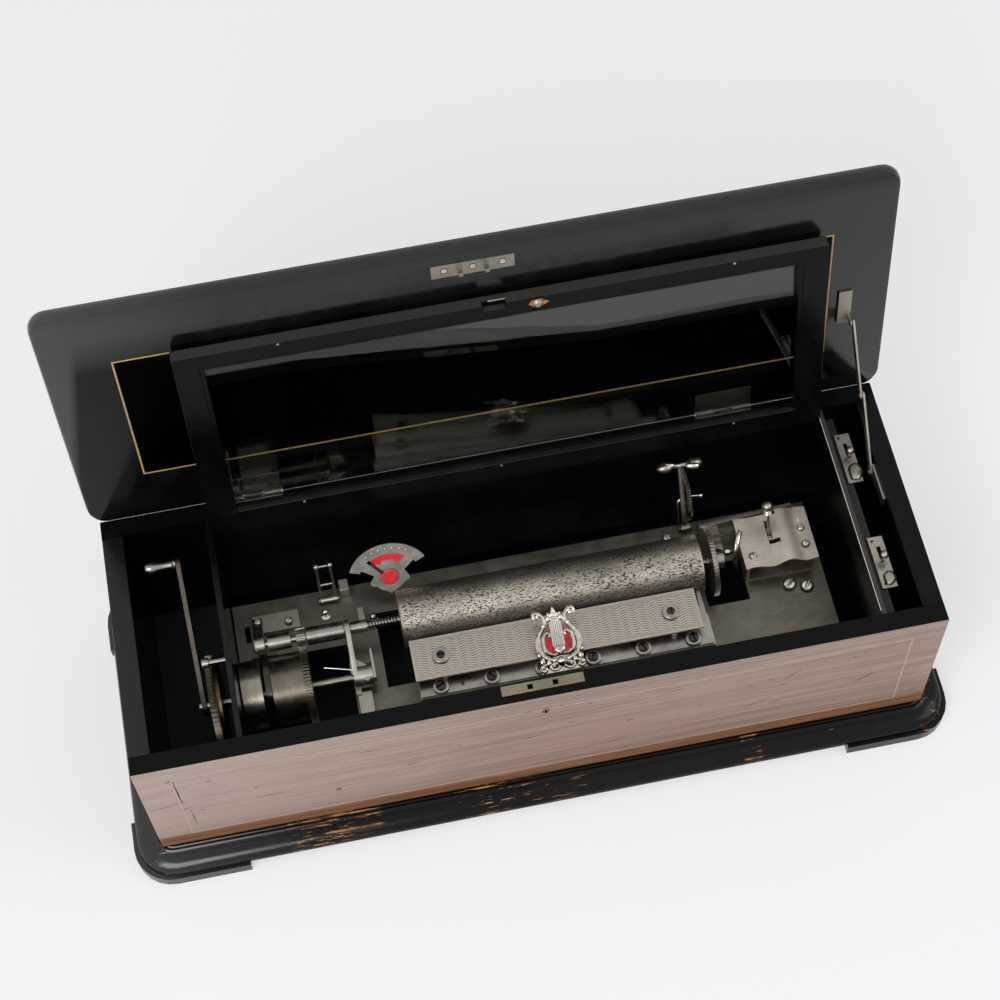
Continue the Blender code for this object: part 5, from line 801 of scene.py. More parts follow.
def washer(base, axis, inner, outer, thick):
    axis = Vector(axis).normalized()
    side, other = crossWays(axis)
    place = planeAt(base, side, other)
    flip = 1 if side.cross(other).dot(axis) > 0 else -1
    rings = [(outer, 0), (outer, thick * 0.7), (outer - 0.4, thick), (inner, thick), (inner, 0)]
    return ringed([[place(a, b, flip * h) for a, b in circleOutline(radius)] for radius, h in rings], closed=True)


random.seed(7)


# String lines on the front and inside the lid, in mm on their own faces

lineLook = {
    "frontBox": (-315.5, 44.5, 317, 165),
    "frontWidth": 1,
    "frontFace": -134.2,
    "lidBox": (-296, 53, 298.7, 192.2),
    "lidWidth": 1.3,
    # a thin dark edge round the lid's line, and the share of the line's height that it has
    "lidDarkEdge": 0.6,
    "darkTall": 0.6,
    "deep": -0.2,
    "proud": 0.1,
}
lidPlane = planeAt((0, 0.10623, 0.1904), rightWay, (0, 0.16677, 0.986))
lidOut = Vector((0, -0.986, 0.16677))


def addLines(look):
    frontPlane = planeAt((0, look["frontFace"] * mm, 0), rightWay, upWay)
    front, lid = look["frontWidth"] / 2, look["lidWidth"] / 2
    dark = lid + look["lidDarkEdge"]
    deep, proud = look["deep"], look["proud"]
    addPiece("frontStringing", "case", paleStringing,
             [lineShape(look["frontBox"], frontPlane, deep, proud, -front, front)])
    addPiece("lidStringing", "lid", stringing,
             [lineShape(look["lidBox"], lidPlane, deep, proud, -lid, lid)])
    addPiece("lidStringingEdge", "lid", darkFill,
             [lineShape(look["lidBox"], lidPlane, deep, proud * look["darkTall"], -dark, dark)])


addLines(lineLook)
print("string lines are laid")


# Screws in the lid. They are almost flush, so that the lid can close over the case's own leaves.

lidScrewLook = {
    "leafX": (-226, -210, -194, 194, 210, 226),
    # how far up the lid the outer screws of a leaf are, and the middle one
    "leafUp": (11, 16),
    "leafRadius": 2,
    "strikerX": (-23.1, 0, 24.2),
    "strikerUp": 229,
    "strikerRadius": 2.5,
    "headTall": 0.16,
}


def addLidScrews(look):
    sinks = []
    for name, material, radius, slot, rows in (
            ("lidLeafScrews", nickel, look["leafRadius"], 0.7,
             [("lid_hinge_leaf_left" if x < 0 else "lid_hinge_leaf_right", x, look["leafUp"][abs(x) == 210])
              for x in look["leafX"]]),
            ("strikerScrews", silver, look["strikerRadius"], 0.8,
             [("striker_plate", x, look["strikerUp"]) for x in look["strikerX"]])):
        heads = []
        for node, x, up in rows:
            base = landOn(node, lidPlane(x, up), -lidOut)
            sinks.append(sunkRing(base, lidOut, radius))
            heads += slottedHead(base, lidOut, radius, look["headTall"], random.uniform(0, 180), slot)
        addPiece(name, "lid", material, heads)
    # painted shade round the lid screws
    addPiece("lidScrewSinkShade", "lid", darkFill, sinks)


# The inner glass lid. Its plane runs through its hinge, and places on it are x and the way up, in mm.

glassFoot = Vector((0, 0.08683, 0.187))
glassAlong = Vector((0, 0.24192, 0.9703))
glassOut = Vector((0, -0.9703, 0.24192))
glassPlane = planeAt(glassFoot, rightWay, glassAlong)
paneLook = {
    "opening": (-230, 21, 271, 192),
    # section of the bead: distance inward from the opening, and rise; it is stretched to stand proud of the frame
    "bead": [(0, 0), (0, 2.6), (1.2, 3.4), (2.6, 2.8), (3.4, 1.2), (3.4, 0)],
    "beadTall": 3.4,
    "beadProud": 0.4,
    "nail": [(1.3, 0), (1.3, 0.35), (0.9, 0.6), (0, 0.7)],
    "nails": [(5.6, 18.6), (-167.2, 18.8), (212.3, 18.4), (211.2, 201.5), (-163.4, 201.5)],
    "catchTab": (8, 202.9, 23.5, 204.3),
    "catchTabHeight": (3, 7.4),
    # polish lost round the small knob: middle, then angle in degrees and radius
    "patchAt": (48, 197),
    "patchTall": 0.8,
    "patch": [(0, 9.5), (25, 6.5), (60, 6), (100, 5.4), (140, 6.4), (180, 7.4), (220, 5.6), (260, 5), (300, 5.6),
              (335, 6.4)],
    # where the frame's height is measured for it, and how deep it goes and stands out
    "patchLevelAt": 60,
    "patchDepth": (-0.2, 0.08),
}


def heightOnGlass(node, x, up):
    return (landOn(node, glassPlane(x, up), -glassOut) - glassFoot).dot(glassOut) / mm


def addGlassBead(look):
    # the moulded bead that holds the pane, mitred at its corners, and nails in the frame
    pane = heightOnGlass("glass_pane", 20, 100)
    stretch = (heightOnGlass("glass_frame", 20, 10) - pane + look["beadProud"]) / look["beadTall"]
    rings = [[glassPlane(a, b, pane + rise * stretch) for a, b in boxOutline(look["opening"], -inward)]
             for inward, rise in look["bead"]]
    addPiece("glassBead", "glass_lid", ebonyBead, [ringed(rings, closed=True)])
    nails = [turnedShape(landOn("glass_frame", glassPlane(x, up), -glassOut) - glassOut * 0.2 * mm, glassOut,
                         look["nail"], 16) for x, up in look["nails"]]
    addPiece("glassFrameNails", "glass_lid", nickel, nails)


addLidScrews(lidScrewLook)
addGlassBead(paneLook)
print("case fittings are on")


# Pins on the cylinder

pinLook = {
    "centre": (-9.2, 130),
    "radius": 25.7,
    "from": -101.5,
    "to": 158.5,
    "rows": 118,
    "perRow": 34,
    # how far a pin stands out, goes into the skin and strays along the case, and its width at the tip
    "length": 0.5,
    "sunk": 0.3,
    "astray": 0.5,
    "wide": 0.6,
    "footShare": 1.8,
    # half the turn in radians that a pin takes up at its foot and at its tip, and how far it bends ahead
    "halfTurns": (0.008, 0.005),
    "bend": 0.012,
    # rims of the end caps: from and to mm beyond the radius, and their width
    "rim": (-0.4, 0.3),
    "rimWide": 1.5,
}


def addPins(look):
    # bent steel pins in loose rows along the tune tracks, each about half a millimetre proud
    shapes = []
    cy, cz = look["centre"]
    half, astray = look["wide"] / 2, look["astray"]
    foot, tip = look["halfTurns"]

    def corners(x, turn, reach, halfLong, halfTurn):
        return [Vector((x + dx, cy + reach * math.cos(turn + dt), cz + reach * math.sin(turn + dt))) * mm
                for dx, dt in ((-halfLong, -halfTurn), (halfLong, -halfTurn), (halfLong, halfTurn),
                               (-halfLong, halfTurn))]

    for row in range(look["rows"]):
        x = look["from"] + (look["to"] - look["from"]) * (row + 0.5) / look["rows"]
        for k in range(look["perRow"]):
            turn = 2 * math.pi * (k + random.random()) / look["perRow"]
            place = x + random.uniform(-astray, astray)
            low = corners(place, turn, look["radius"] - look["sunk"], half * look["footShare"], foot)
            high = corners(place, turn + look["bend"], look["radius"] + look["length"], half, tip)
            shapes.append((low + high, [(4, 5, 6, 7), (0, 1, 5, 4), (1, 2, 6, 5), (2, 3, 7, 6), (3, 0, 4, 7)]))
    addPiece("cylinderPins", "cylinder", darkSteel, shapes)
    low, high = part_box("cylinder")
    inner, outer = (circleOutline(look["radius"] + more, 64) for more in look["rim"])
    rims = [slabShape(outer, planeAt((end, cy * mm, cz * mm), backWay, upWay), *reach, inner)
            for end, reach in ((low[0], (0, look["rimWide"])), (high[0], (-look["rimWide"], 0)))]
    addPiece("cylinderEndRims", "cylinder", nickel, rims, 0.15)


addPins(pinLook)
print("pins are in")


# Comb and cover screws

combLook = {
    # part, places in x and y, and in mm: washer's inner and outer radius and how deep it sits, then head's lift,
    # radius, height, width of its slot and dome
    "screws": [("comb", [(-80.8 + 44.5 * i, -80.5) for i in range(6)], (4.6, 6.9, 0), (0.2, 4.5, 2.2, 1, 0.9)),
               ("zither_cover", [(-76.2, -56.5), (126.5, -56.5)], (3.7, 7.3, 0.05), (0, 3.6, 1.6, 0.9, 0.7))],
    "washerThick": 1,
    "combPins": [(-62, -80.8), (98, -81.5)],
    "combPin": [(1.5, 0), (1.5, 0.6), (1, 1.1), (0, 1.3)],
    # two fine lines round the cover, the second one further out
    "border": (-97.2, -72, 147.5, -41),
    "borderOut": (0, 1.3),
    "borderHalf": 0.25,
    "borderHeight": (-0.1, 0.15),
}


def addCombFittings(look):
    dark, bright = [], []
    for node, places, (inner, outer, deep), (lift, radius, tall, slot, dome) in look["screws"]:
        for x, y in places:
            base = landFrom(node, x, y)
            bright.append(washer(base - upWay * deep * mm, upWay, inner, outer, look["washerThick"]))
            dark += slottedHead(base + upWay * lift * mm, upWay, radius, tall, random.uniform(0, 180), slot, dome)
    dark += [turnedShape(landFrom("comb", x, y), upWay, look["combPin"], 20) for x, y in look["combPins"]]
    addPiece("screwWashers", "case", nickel, bright)
    addPiece("combAndCoverScrews", "case", darkSteel, dark)
    place = planeAt((0, 0, landFrom("zither_cover", 0, -50).z), rightWay, backWay)
    half = look["borderHalf"]
    lines = [lineShape(look["border"], place, *look["borderHeight"], out - half, out + half)
             for out in look["borderOut"]]
    addPiece("coverBorder", "case", nickel, lines)


addCombFittings(combLook)
print("comb and cover screws are on")


# Lyre. Its lines and plates are in mm across and up its own tilted face, and most are doubled to both sides.

lyreLook = {
    "centre": (24.9, -61.7, 149.8),
    "tiltDegrees": 20,
    # bars: across, up and radius
    "arm": [(2.2, -20.6, 1.7), (9, -20.4, 2.4), (15.2, -16.2, 2.9), (18, -9, 3), (17, -1, 2.7),
            (12.6, 6, 2.2), (9, 11.6, 1.9), (9.6, 16, 2), (12.4, 19.6, 2), (15.6, 21.6, 1.9),
            (17.6, 19.6, 1.7), (16.6, 17.2, 1.5), (14.4, 17.4, 1.4), (14.2, 19.2, 1.7)],
    "innerArm": [(2.8, -15.8, 1.1), (7.2, -16, 1.6), (12, -12.4, 1.9), (13.4, -6.6, 1.8), (12, -0.6, 1.7),
                 (8.8, 2.6, 1.5), (6.4, 1.4, 1.2), (7.2, -0.8, 1.1)],
    # leaf buds: across, up and radius
    "buds": [(18.4, -14.6, 2.2), (15, 3.4, 2), (10.6, 9.4, 2.3), (13.4, 19.4, 1.8), (5.4, 14.8, 2.8),
             (2.4, 17.6, 2.4), (16.8, -20.6, 2.8), (11.6, -22.8, 2.5), (17.6, -25.6, 2.3), (6.4, -21, 2.2)],
    # scrolls of the foot: points, height and radius
    "scrolls": [([(3, -22), (8, -24.4), (13.4, -23.6), (17.6, -25), (18.6, -28), (16, -29.4),
                  (14.4, -27.6), (15.8, -26.4)], 0.2, 1.6),
                ([(1.6, -26.4), (5.2, -29), (9.4, -28.4), (10.4, -25.6), (8.2, -24.8), (7.4, -26.4)], 0.3, 1.4)],
    "cloth": [(3.6, 11), (6, 7.5), (8.6, 3.4), (12, 0.2), (13.6, -6.4), (12.2, -12), (7.6, -15.6),
              (3.4, -14.6), (3.6, 11)],
    "leaf": [(0, 0), (1.6, 1.6), (2, 4.2), (0.6, 7.2), (-1.2, 4.6), (-1.2, 1.8)],
    "leafAt": (1.8, 14.6),
    "leafLeanDegrees": -38,
    # crown, yoke, bridge and bar: outline, foot and top
    "plates": [([(-2.2, 15), (-3, 18.6), (-1.4, 22.4), (0, 25.4), (1.6, 22.2), (3, 18.4), (2.2, 15)],
                -0.4, 2.4),
               ([(-8.6, 11.8), (-6, 13.8), (0, 14.4), (6, 13.8), (8.6, 11.8), (6, 15.6), (0, 16.4),
                 (-6, 15.6)], -0.5, 2),
               ([(-4.6, -9.2), (-5, -12.6), (-2.6, -15.4), (0, -16.8), (2.6, -15.4), (5, -12.6), (4.6, -9.2)],
                -0.4, 2.2),
               ([(-16, -19.4), (-9, -18.4), (0, -17.4), (9, -18.4), (16, -19.4), (13, -22.2),
                 (0, -21.2), (-13, -22.2)], -0.8, 1.6)],
    "backPlate": [(-5, 13.6), (-5.4, -9.6), (5.4, -9.6), (5, 13.6)],
    "slide": (-19, -31, 15.5, -27.6),
    "stringX": (-3.6, -1.8, 0, 1.8, 3.6),
    "stringUp": (-9.6, 12.6),
    "ball": (-1, -22.8),
    "ballRadius": 4.2,
    "stringRadius": 0.42,
    # heights above the face: one number, or foot and top
    "barUp": 0.4,
    "budUp": 0.6,
    "stringHeight": 0.85,
    "ballUp": 2,
    "clothDepth": (-0.9, 0.5),
    "leafDepth": (-0.4, 2),
    "backDepth": (-0.6, 0.6),
    "slideDepth": (-3.2, -1.6),
}


def addLyre(look):
    tilt = math.radians(look["tiltDegrees"])
    place = planeAt([v * mm for v in look["centre"]], rightWay, (0, math.cos(tilt), math.sin(tilt)))
    out = (place(0, 0, 1) - place(0, 0, 0)).normalized()
    metal, red = [], []
    for sign in (1, -1):
        for bar in (look["arm"], look["innerArm"]):
            line = smoothPath([(sign * a, b, r) for a, b, r in bar], 4)
            metal.append(sweptShape([place(a, b, look["barUp"]) for a, b, r in line], [r for a, b, r in line], 10))
        for a, b, r in look["buds"]:
            metal.append(turnedShape(place(sign * a, b, look["budUp"]), out,
                                     [(r, 0), (r * 0.95, r * 0.5), (r * 0.6, r * 0.95), (0, r * 1.1)], 12))
        for points, height, radius in look["scrolls"]:
            line = smoothPath([(sign * a, b) for a, b in points], 4)
            metal.append(sweptShape([place(a, b, height) for a, b in line], radius, 8))
        cloth = smoothPath([(sign * a, b) for a, b in look["cloth"]], 3)[:-1]
        red.append(crownedShape(cloth, place, *look["clothDepth"]))
        across, up = look["leafAt"]
        leaf = leaned(look["leaf"], math.radians(look["leafLeanDegrees"] * sign), (sign * across, up))
        metal.append(crownedShape(leaf, place, *look["leafDepth"]))
    metal += [crownedShape(outline, place, low, high) for outline, low, high in look["plates"]]
    metal.append(slabShape(look["backPlate"], place, *look["backDepth"]))
    size = look["ballRadius"]
    foot = place(*look["ball"], look["ballUp"]) - out * size * mm
    metal.append(turnedShape(foot, out, ballProfile(size, 12), 24))
    metal.append(slabShape(boxOutline(look["slide"]), place, *look["slideDepth"]))
    strings = [sweptShape([place(a, b, look["stringHeight"]) for b in look["stringUp"]], look["stringRadius"], 8)
               for a in look["stringX"]]
    frameMade = addPiece("lyreFrame", "lyre", silver, metal)
    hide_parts("lyre_handle")
    addPiece("lyreStrings", "lyre", springSteel, strings)
    addPiece("lyreCloth", "lyre", redCloth, red)


addLyre(lyreLook)
print("lyre is made")


# Dial. Angles are in degrees from the right, round the pointer's pin, on the dial's sloping face.

dialLook = {
    "centre": (-106, 33.4, 130),
    "slopeDegrees": 65,
    "dotRing": 32.6,
    "dots": 7,
    "dotFrom": 58,
    "dotTo": 124,
    "dotRadius": 1.05,
    "dotRimRadius": 1.5,
    # how far the dots and their rims stand out, and go in
    "dotProud": 0.16,
    "dotRimProud": 0.08,
    "dotDeep": 0.2,
    # hub plate: angle and radius
    "hub": [(-100, 12.6), (-60, 13), (-35, 14), (-15, 18), (8, 15.6), (26, 15.2), (43, 20.5), (56, 16),
            (75, 17), (92, 16.2), (110, 16.4), (131, 19.5), (150, 14.2), (172, 14.8), (196, 18.4), (218, 13.6),
            (240, 12.8), (260, 12.6)],
    "pinHole": 1.5,
    "bandFrom": 52,
    "bandSpan": 73,
    # half width and height of the band's outer edge, its inner radius, and the teeth that hang from it
    "bandOuter": (26.6, 25.8),
    "bandInner": 19.6,
    "toothDeep": 4.4,
    "toothHalf": 7,
    "teeth": (66, 113),
    "window": (29, 15),
    # foot and top of the plate behind the window, of the enamel band and of the hub plate
    "windowDepth": (-0.9, 0.1),
    "bandDepth": (0, 0.3),
    "hubDepth": (-0.3, 0.5),
    # the pointer's red cap: radius, how far above the pin its middle is, its stretch, foot and top
    "capRadius": 7.3,
    "capUp": 2.6,
    "capTall": 1.12,
    "capHeight": (3.2, 4.1),
    "capStemRadius": 2,
    "capStemFrom": 1.4,
}


def addDial(look):
    slope = math.radians(look["slopeDegrees"])
    place = planeAt([v * mm for v in look["centre"]], rightWay, (0, math.cos(slope), math.sin(slope)))
    inward = place(0, 0, -1) - place(0, 0, 0)
    dots, rims = [], []
    for i in range(look["dots"]):
        turn = math.radians(look["dotFrom"] + (look["dotTo"] - look["dotFrom"]) * i / (look["dots"] - 1))
        middle = polar(look["dotRing"], turn)
        seat = (landOn("tune_dial", place(*middle), inward) - place(*middle)).length / mm
        for shapes, kind in ((rims, "dotRim"), (dots, "dot")):
            outline = circleOutline(look[kind + "Radius"], 16, middle)
            shapes.append(slabShape(outline, place, seat - look["dotDeep"], seat + look[kind + "Proud"]))
    addPiece("dialDots", "case", dotEnamelAndEdgeHighlight, dots)
    addPiece("dialDotRims", "case", darkFill, rims)
    arc = [math.radians(look["bandFrom"] + look["bandSpan"] * i / 24) for i in range(25)]
    wide, tall = look["bandOuter"]
    band = [onOval((0, 0), wide, tall, t) for t in arc]
    for t in arc[::-1]:
        tooth = max(max(0, 1 - abs(math.degrees(t) - middle) / look["toothHalf"]) for middle in look["teeth"])
        band.append(polar(look["bandInner"] - look["toothDeep"] * tooth, t))
    far, near = look["window"]
    window = [polar(far, t) for t in arc] + [polar(near, t) for t in arc[::-1]]
    addPiece("dialWindowPlate", "case", dialSilver, [slabShape(window, place, *look["windowDepth"])], 0.1)
    addPiece("dialEnamel", "case", redEnamel, [slabShape(band, place, *look["bandDepth"])], 0.05)
    cap = [(a, look["capUp"] + b * look["capTall"]) for a, b in circleOutline(look["capRadius"], 40)]
    stem = circleOutline(look["capStemRadius"], 20)
    red = [crownedShape(cap, place, *look["capHeight"]),
           slabShape(stem, place, look["capStemFrom"], look["capHeight"][0] + 0.1)]
    addPiece("pointerCap", "pointer", redEnamel, red, 0.05)
    turns = smoothPath(look["hub"], 5)[:-1]
    hub = [polar(r, math.radians(t)) for t, r in turns]
    pinHole = [polar(look["pinHole"], math.radians(t)) for t, r in turns]
    plate = slabShape(hub, place, *look["hubDepth"], pinHole)
    addPiece("dialHubPlate", "case", dialSilver, [plate], 0.12)


addDial(dialLook)
print("dial is marked")


# Small fittings of the movement

fittingLook = {
    # flat plates: outline, foot and top
    "plates": [([(-141, -57), (-137.2, -52), (-138, -43), (-146, -36), (-154, -31), (-155, -47)],
                118.4, 119.6),
               ([(-139.5, -60), (-139.5, -79), (-142, -82.5), (-146, -83.6), (-150, -82.5), (-152.5, -79),
                 (-152.5, -60)], 100.1, 106),
               (boxOutline((-152, 38, -143.5, 49)), 100.1, 113),
               (boxOutline((-139.8, 5.5, -134.2, 19.5)), 100.1, 110.5),
               ([(177, 40.2), (264, 45.4), (264, 41.4), (177, 36.4)], 100.2, 108)],
    # studs: x, y and radius of the ball, then their section: the foot's is beyond that radius
    "ballStuds": [(-168, 22, 3.1), (-127, 9, 3.4)],
    "studFoot": [(1.2, 0), (1, 1.2)],
    "studNeck": [(1.6, 2), (1.5, 5)],
    "studBallUp": 8,
    "bearingKnobAt": (196.5, 3.5, 116),
    "bearingKnob": [(2.4, -4), (2.4, 0), (3.6, 1), (3.9, 3), (3, 5.4), (1.2, 6.4), (0, 6.6)],
    "wire": [(-154, -44, 120.2), (-166, -41, 121.6), (-177, -38.5, 122.6)],
    "strap": [(199, -9, 100.6), (199, -7.5, 110), (199.6, -4, 118.5), (201.6, 2, 125.6),
              (204.6, 9, 128.6), (208, 15, 128.4)],
    "wireRadius": 0.45,
    "strapRadius": 2.4,
    "strapFlat": 0.45,
    # grip of the change lever
    "stem": [(170.4, 46.6, 108.6), (171.4, 50, 119), (171, 60, 135), (168.4, 69, 149),
             (165.2, 75.2, 159.4)],
    "stemFrame": [(160.1, 46.6, 106.4), (160.2, 53, 119), (161, 57, 127), (166.5, 58, 128),
                  (168, 55, 122), (168.2, 47, 106)],
    "stemRadii": [2.2 + 0.1 * abs(i - 8) for i in range(17)],
    "stemFlat": 0.55,
    "stemFrameRadius": 1.1,
    "stemPin": [(171, 58, 131), (181.5, 56.6, 131.2)],
    "stemPinRadius": 1,
    "pinKnob": [(1.9, -1), (2.2, 0), (1.8, 1.2), (0, 1.8)],
    "olives": [((154.6, 76.6, 160.4), (-1, 0.22, 0)), ((176.2, 72.2, 160.2), (1, -0.22, 0))],
    "oliveRadius": 3.5,
    "oliveHalf": 6.4,
}


def addMovementFittings(look):
    plates = [slabShape(outline, levelPlane, low, high) for outline, low, high in look["plates"]]
    addPiece("movementPlates", "case", nickel, plates, 0.4)
    studs = []
    for x, y, radius in look["ballStuds"]:
        profile = [(radius + more, up) for more, up in look["studFoot"]] + look["studNeck"]
        profile += ballProfile(radius, 10, 2, look["studBallUp"])
        studs.append(turnedShape(landFrom("bedplate", x, y), upWay, profile, 24))
    studs.append(turnedShape([v * mm for v in look["bearingKnobAt"]], (-1, 0, 0.1), look["bearingKnob"], 24))
    studs.append(sweptShape(inMetres(smoothPath(look["wire"], 3)), look["wireRadius"], 6))
    studs.append(sweptShape(inMetres(smoothPath(look["strap"], 4)), look["strapRadius"], 12, look["strapFlat"]))
    addPiece("movementStuds", "case", silver, studs)
    pin = inMetres(look["stemPin"])
    grip = [sweptShape(inMetres(smoothPath(look["stem"], 4)), look["stemRadii"], 12, look["stemFlat"]),
            sweptShape(inMetres(smoothPath(look["stemFrame"], 3)), look["stemFrameRadius"], 8),
            sweptShape(pin, look["stemPinRadius"], 10),
            turnedShape(pin[1], rightWay, look["pinKnob"], 16)]
    half, radius = look["oliveHalf"], look["oliveRadius"]
    olive = [(radius * math.sin(math.pi * i / 14) ** 0.8, half - half * math.cos(math.pi * i / 14))
             for i in range(15)]
    for middle, way in look["olives"]:
        grip.append(turnedShape(Vector(middle) * mm - Vector(way).normalized() * half * mm, way, olive, 24))
    addPiece("changeLeverGrip", "change", silver, grip)


addMovementFittings(fittingLook)

sealLook = {
    "spans": [(-344, -236), (-184, 184), (236, 344)],
    "back": (105.75, 106.25),
    "height": (184, 190.1),
}


def addHingeSeal(look):
    # a thin black fillet on the back wall that closes the crack under the open lid
    near, far = look["back"]
    shapes = [slabShape(boxOutline((start, near, end, far)), levelPlane, *look["height"])
              for start, end in look["spans"]]
    addPiece("hingeFillet", "case", ebonyAlongX, shapes)


addHingeSeal(sealLook)

controlLook = {
    # middle x and y, half width and half length of the bent sheet on each control plate, in mm
    "bulges": [("control_plate_back", 313, 30.5, 6.6, 8.6), ("control_plate_front", 312.6, -77, 5.6, 6.6)],
    "bulgeRise": 3.4,
    "screws": [("control_plate_back", 307.6, 66.6), ("control_plate_back", 308, 24.6),
               ("control_plate_front", 307.6, -39.6), ("control_plate_front", 308, -81.8)],
    "screw": [(1.3, 0), (1.3, 0.3), (0.8, 0.6), (0, 0.7)],
}


def addControlDetails(look):
    sheets = []
    for node, x, y, wide, long in look["bulges"]:
        top = landFrom(node, x - wide - 1, y + long).z / mm
        outline = [onOval((x, y), wide * (1 + 0.12 * math.cos(3 * t)), long * (1 + 0.1 * math.sin(2 * t)), t)
                   for t in evenTurns(24)]
        sheets.append(crownedShape(outline, levelPlane, top - 0.2, top + look["bulgeRise"]))
    screws = [turnedShape(landFrom(node, x, y) - upWay * 0.1 * mm, upWay, look["screw"], 16)
              for node, x, y in look["screws"]]
    addPiece("controlSheets", "case", nickel, sheets)
    addPiece("controlPlateScrews", "case", darkSteel, screws)


addControlDetails(controlLook)

edgeHighlightLook = {"fromEnds": 4, "fromEdge": 0.6, "radius": 0.28, "points": 41}


def addEdgeHighlight(look):
    # painted highlight: a thin pale line along the arris of the control ledge beside the movement
    low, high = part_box("partition_right")
    start, end = low[1] + look["fromEnds"] * mm, high[1] - look["fromEnds"] * mm
    path = [landOn("partition_right", (low[0] + look["fromEdge"] * mm, start + (end - start) * share, 0))
            for share in (i / (look["points"] - 1) for i in range(look["points"]))]
    addPiece("ledgePaintedEdgeHighlight", "case", dotEnamelAndEdgeHighlight, [sweptShape(path, look["radius"], 8)])


addEdgeHighlight(edgeHighlightLook)


def addLidTrim(look):
    # the tab that catches the glass lid, and bare wood round its knob
    addPiece("glassCatchTab", "glass_lid", nickel,
             [slabShape(boxOutline(look["catchTab"]), glassPlane, *look["catchTabHeight"])], 0.2)
    patch = [onOval(look["patchAt"], r, look["patchTall"] * r, math.radians(t)) for t, r in look["patch"]]
    height = heightOnGlass("glass_frame", look["patchLevelAt"], look["patchAt"][1])
    low, high = (height + step for step in look["patchDepth"])
    addPiece("studWornPatch", "glass_lid", wornWood, [slabShape(patch, glassPlane, low, high)])


addLidTrim(paneLook)

frontMarkLook = {
    "face": -134.2,
    # how deep the marks go and how far they stand out
    "depth": (-0.2, 0.06),
    # middle x and z, half length and half height in mm, and slant in degrees
    "cracks": [(-314.4, 139, 25, 0.8, 91), (-318, 164, 3.6, 0.6, 15), (-309, 80, 18, 0.35, 91),
               (-313, 101, 5, 0.35, 8), (-330, 112, 13, 0.3, 6), (192, 96, 8, 0.3, 32),
               (181, 90, 6, 0.3, 24), (205, 88, 7, 0.3, 12), (216, 140, 9, 0.4, 38),
               (279, 101, 7, 0.5, 36), (287, 106, 6, 0.4, 40), (-118, 104, 10, 0.3, 4),
               (60, 70, 12, 0.3, 3), (-240, 96, 12, 0.3, 5), (-150, 148, 9, 0.3, -6),
               (110, 152, 9, 0.3, 8)],
    # middle x and z, half length and half height in mm
    "marks": [(-183, 79.6, 3.2, 1.7), (-15, 166.2, 2, 0.9), (13.6, 166.4, 1.8, 0.8), (38, 160, 2.4, 0.5),
              (-14, 112, 5, 0.5), (22, 128, 3.4, 0.5), (74, 108, 4, 0.5), (135, 111, 2.2, 0.5),
              (178, 132, 4, 0.45), (196, 137, 3, 0.4), (208, 121, 3.6, 0.4), (268, 150, 2, 0.6),
              (-287, 150, 1.6, 0.8), (-250, 118, 2.2, 0.5), (-75, 124, 1.8, 0.5), (-300, 92, 3, 0.5)],
    # the keyhole's worn ring: middle, then half width and half height of its outer and inner edge
    "keyhole": (0, 162.2),
    "keyholeOuter": (3.1, 1.6 * 3.1),
    "keyholeInner": (1.95, 1.9 * 1.95),
    # shares between which the outlines stray: across and up of a mark, height of a crack, across and up of the ring
    "markStray": ((0.75, 1), (0.7, 1)),
    "crackStray": (0.5, 1.3),
    "keyholeStray": ((0.8, 1.15), (0.8, 1.1)),
}


def addFrontMarks(look):
    # knots, nail holes and old dents in the veneer, and the dark ring of wear in the keyhole
    front = planeAt((0, look["face"] * mm, 0), rightWay, upWay)

    def uneven(middle, wide, tall, stray, steps):
        return [onOval(middle, wide * random.uniform(*stray[0]), tall * random.uniform(*stray[1]), t)
                for t in evenTurns(steps)]

    shapes = [slabShape(uneven((x, z), half, high, look["markStray"], 14), front, *look["depth"])
              for x, z, half, high in look["marks"]]
    for x, z, half, high, slant in look["cracks"]:
        crack = [(half * math.cos(t),
                  high * random.uniform(*look["crackStray"]) * math.sin(t) + 0.5 * high * math.sin(5 * t))
                 for t in evenTurns(18)]
        shapes.append(slabShape(leaned(crack, math.radians(slant), (x, z)), front, *look["depth"]))
    outer = uneven(look["keyhole"], *look["keyholeOuter"], look["keyholeStray"], 20)
    inner = [onOval(look["keyhole"], *look["keyholeInner"], t) for t in evenTurns(20)]
    shapes.append(slabShape(outer, front, *look["depth"], inner))
    addPiece("frontKnotsAndDents", "case", darkFill, shapes)


addFrontMarks(frontMarkLook)
print("small fittings are on")


# Screws on the movement

movementScrewLook = {
    "deep": 0.1,
    "tall": 1.9,
    "slot": 0.9,
    "dome": 0.5,
    # part, x, y and radius in mm, and turn in degrees
    "screws": [
        ("arbor_bracket_left", -228, 20.5, 3, 20), ("arbor_bracket_left", -201, 21.5, 3, 70),
        ("bedplate", 243, -32, 5.6, 45), ("bedplate", 258, -37, 5.2, 50),
        ("governor_cover", 262, 9, 3, 10), ("governor_cover", 262, -8, 3, 60),
        ("governor_cover", 213.2, -9.8, 3, 115), ("bedplate", 146.8, 35.7, 3.4, 15),
        ("bedplate", -240, -98, 4.4, 30), ("bedplate", 262, -98, 4.4, 80),
        ("barrel_bracket", -233, 0, 2.6, 140),
    ],
}


def addMovementScrews(look):
    heads, sinks = [], []
    for node, x, y, radius, turn in look["screws"]:
        base = landFrom(node, x, y)
        foot = base - upWay * look["deep"] * mm
        sinks.append(sunkRing(base, upWay, radius))
        heads += slottedHead(foot, upWay, radius, look["tall"], turn, look["slot"], look["dome"])
    addPiece("movementScrews", "case", silver, heads)
    # painted shade round the movement screws
    addPiece("movementScrewSinkShade", "case", darkFill, sinks)


addMovementScrews(movementScrewLook)
print("movement screws are in")


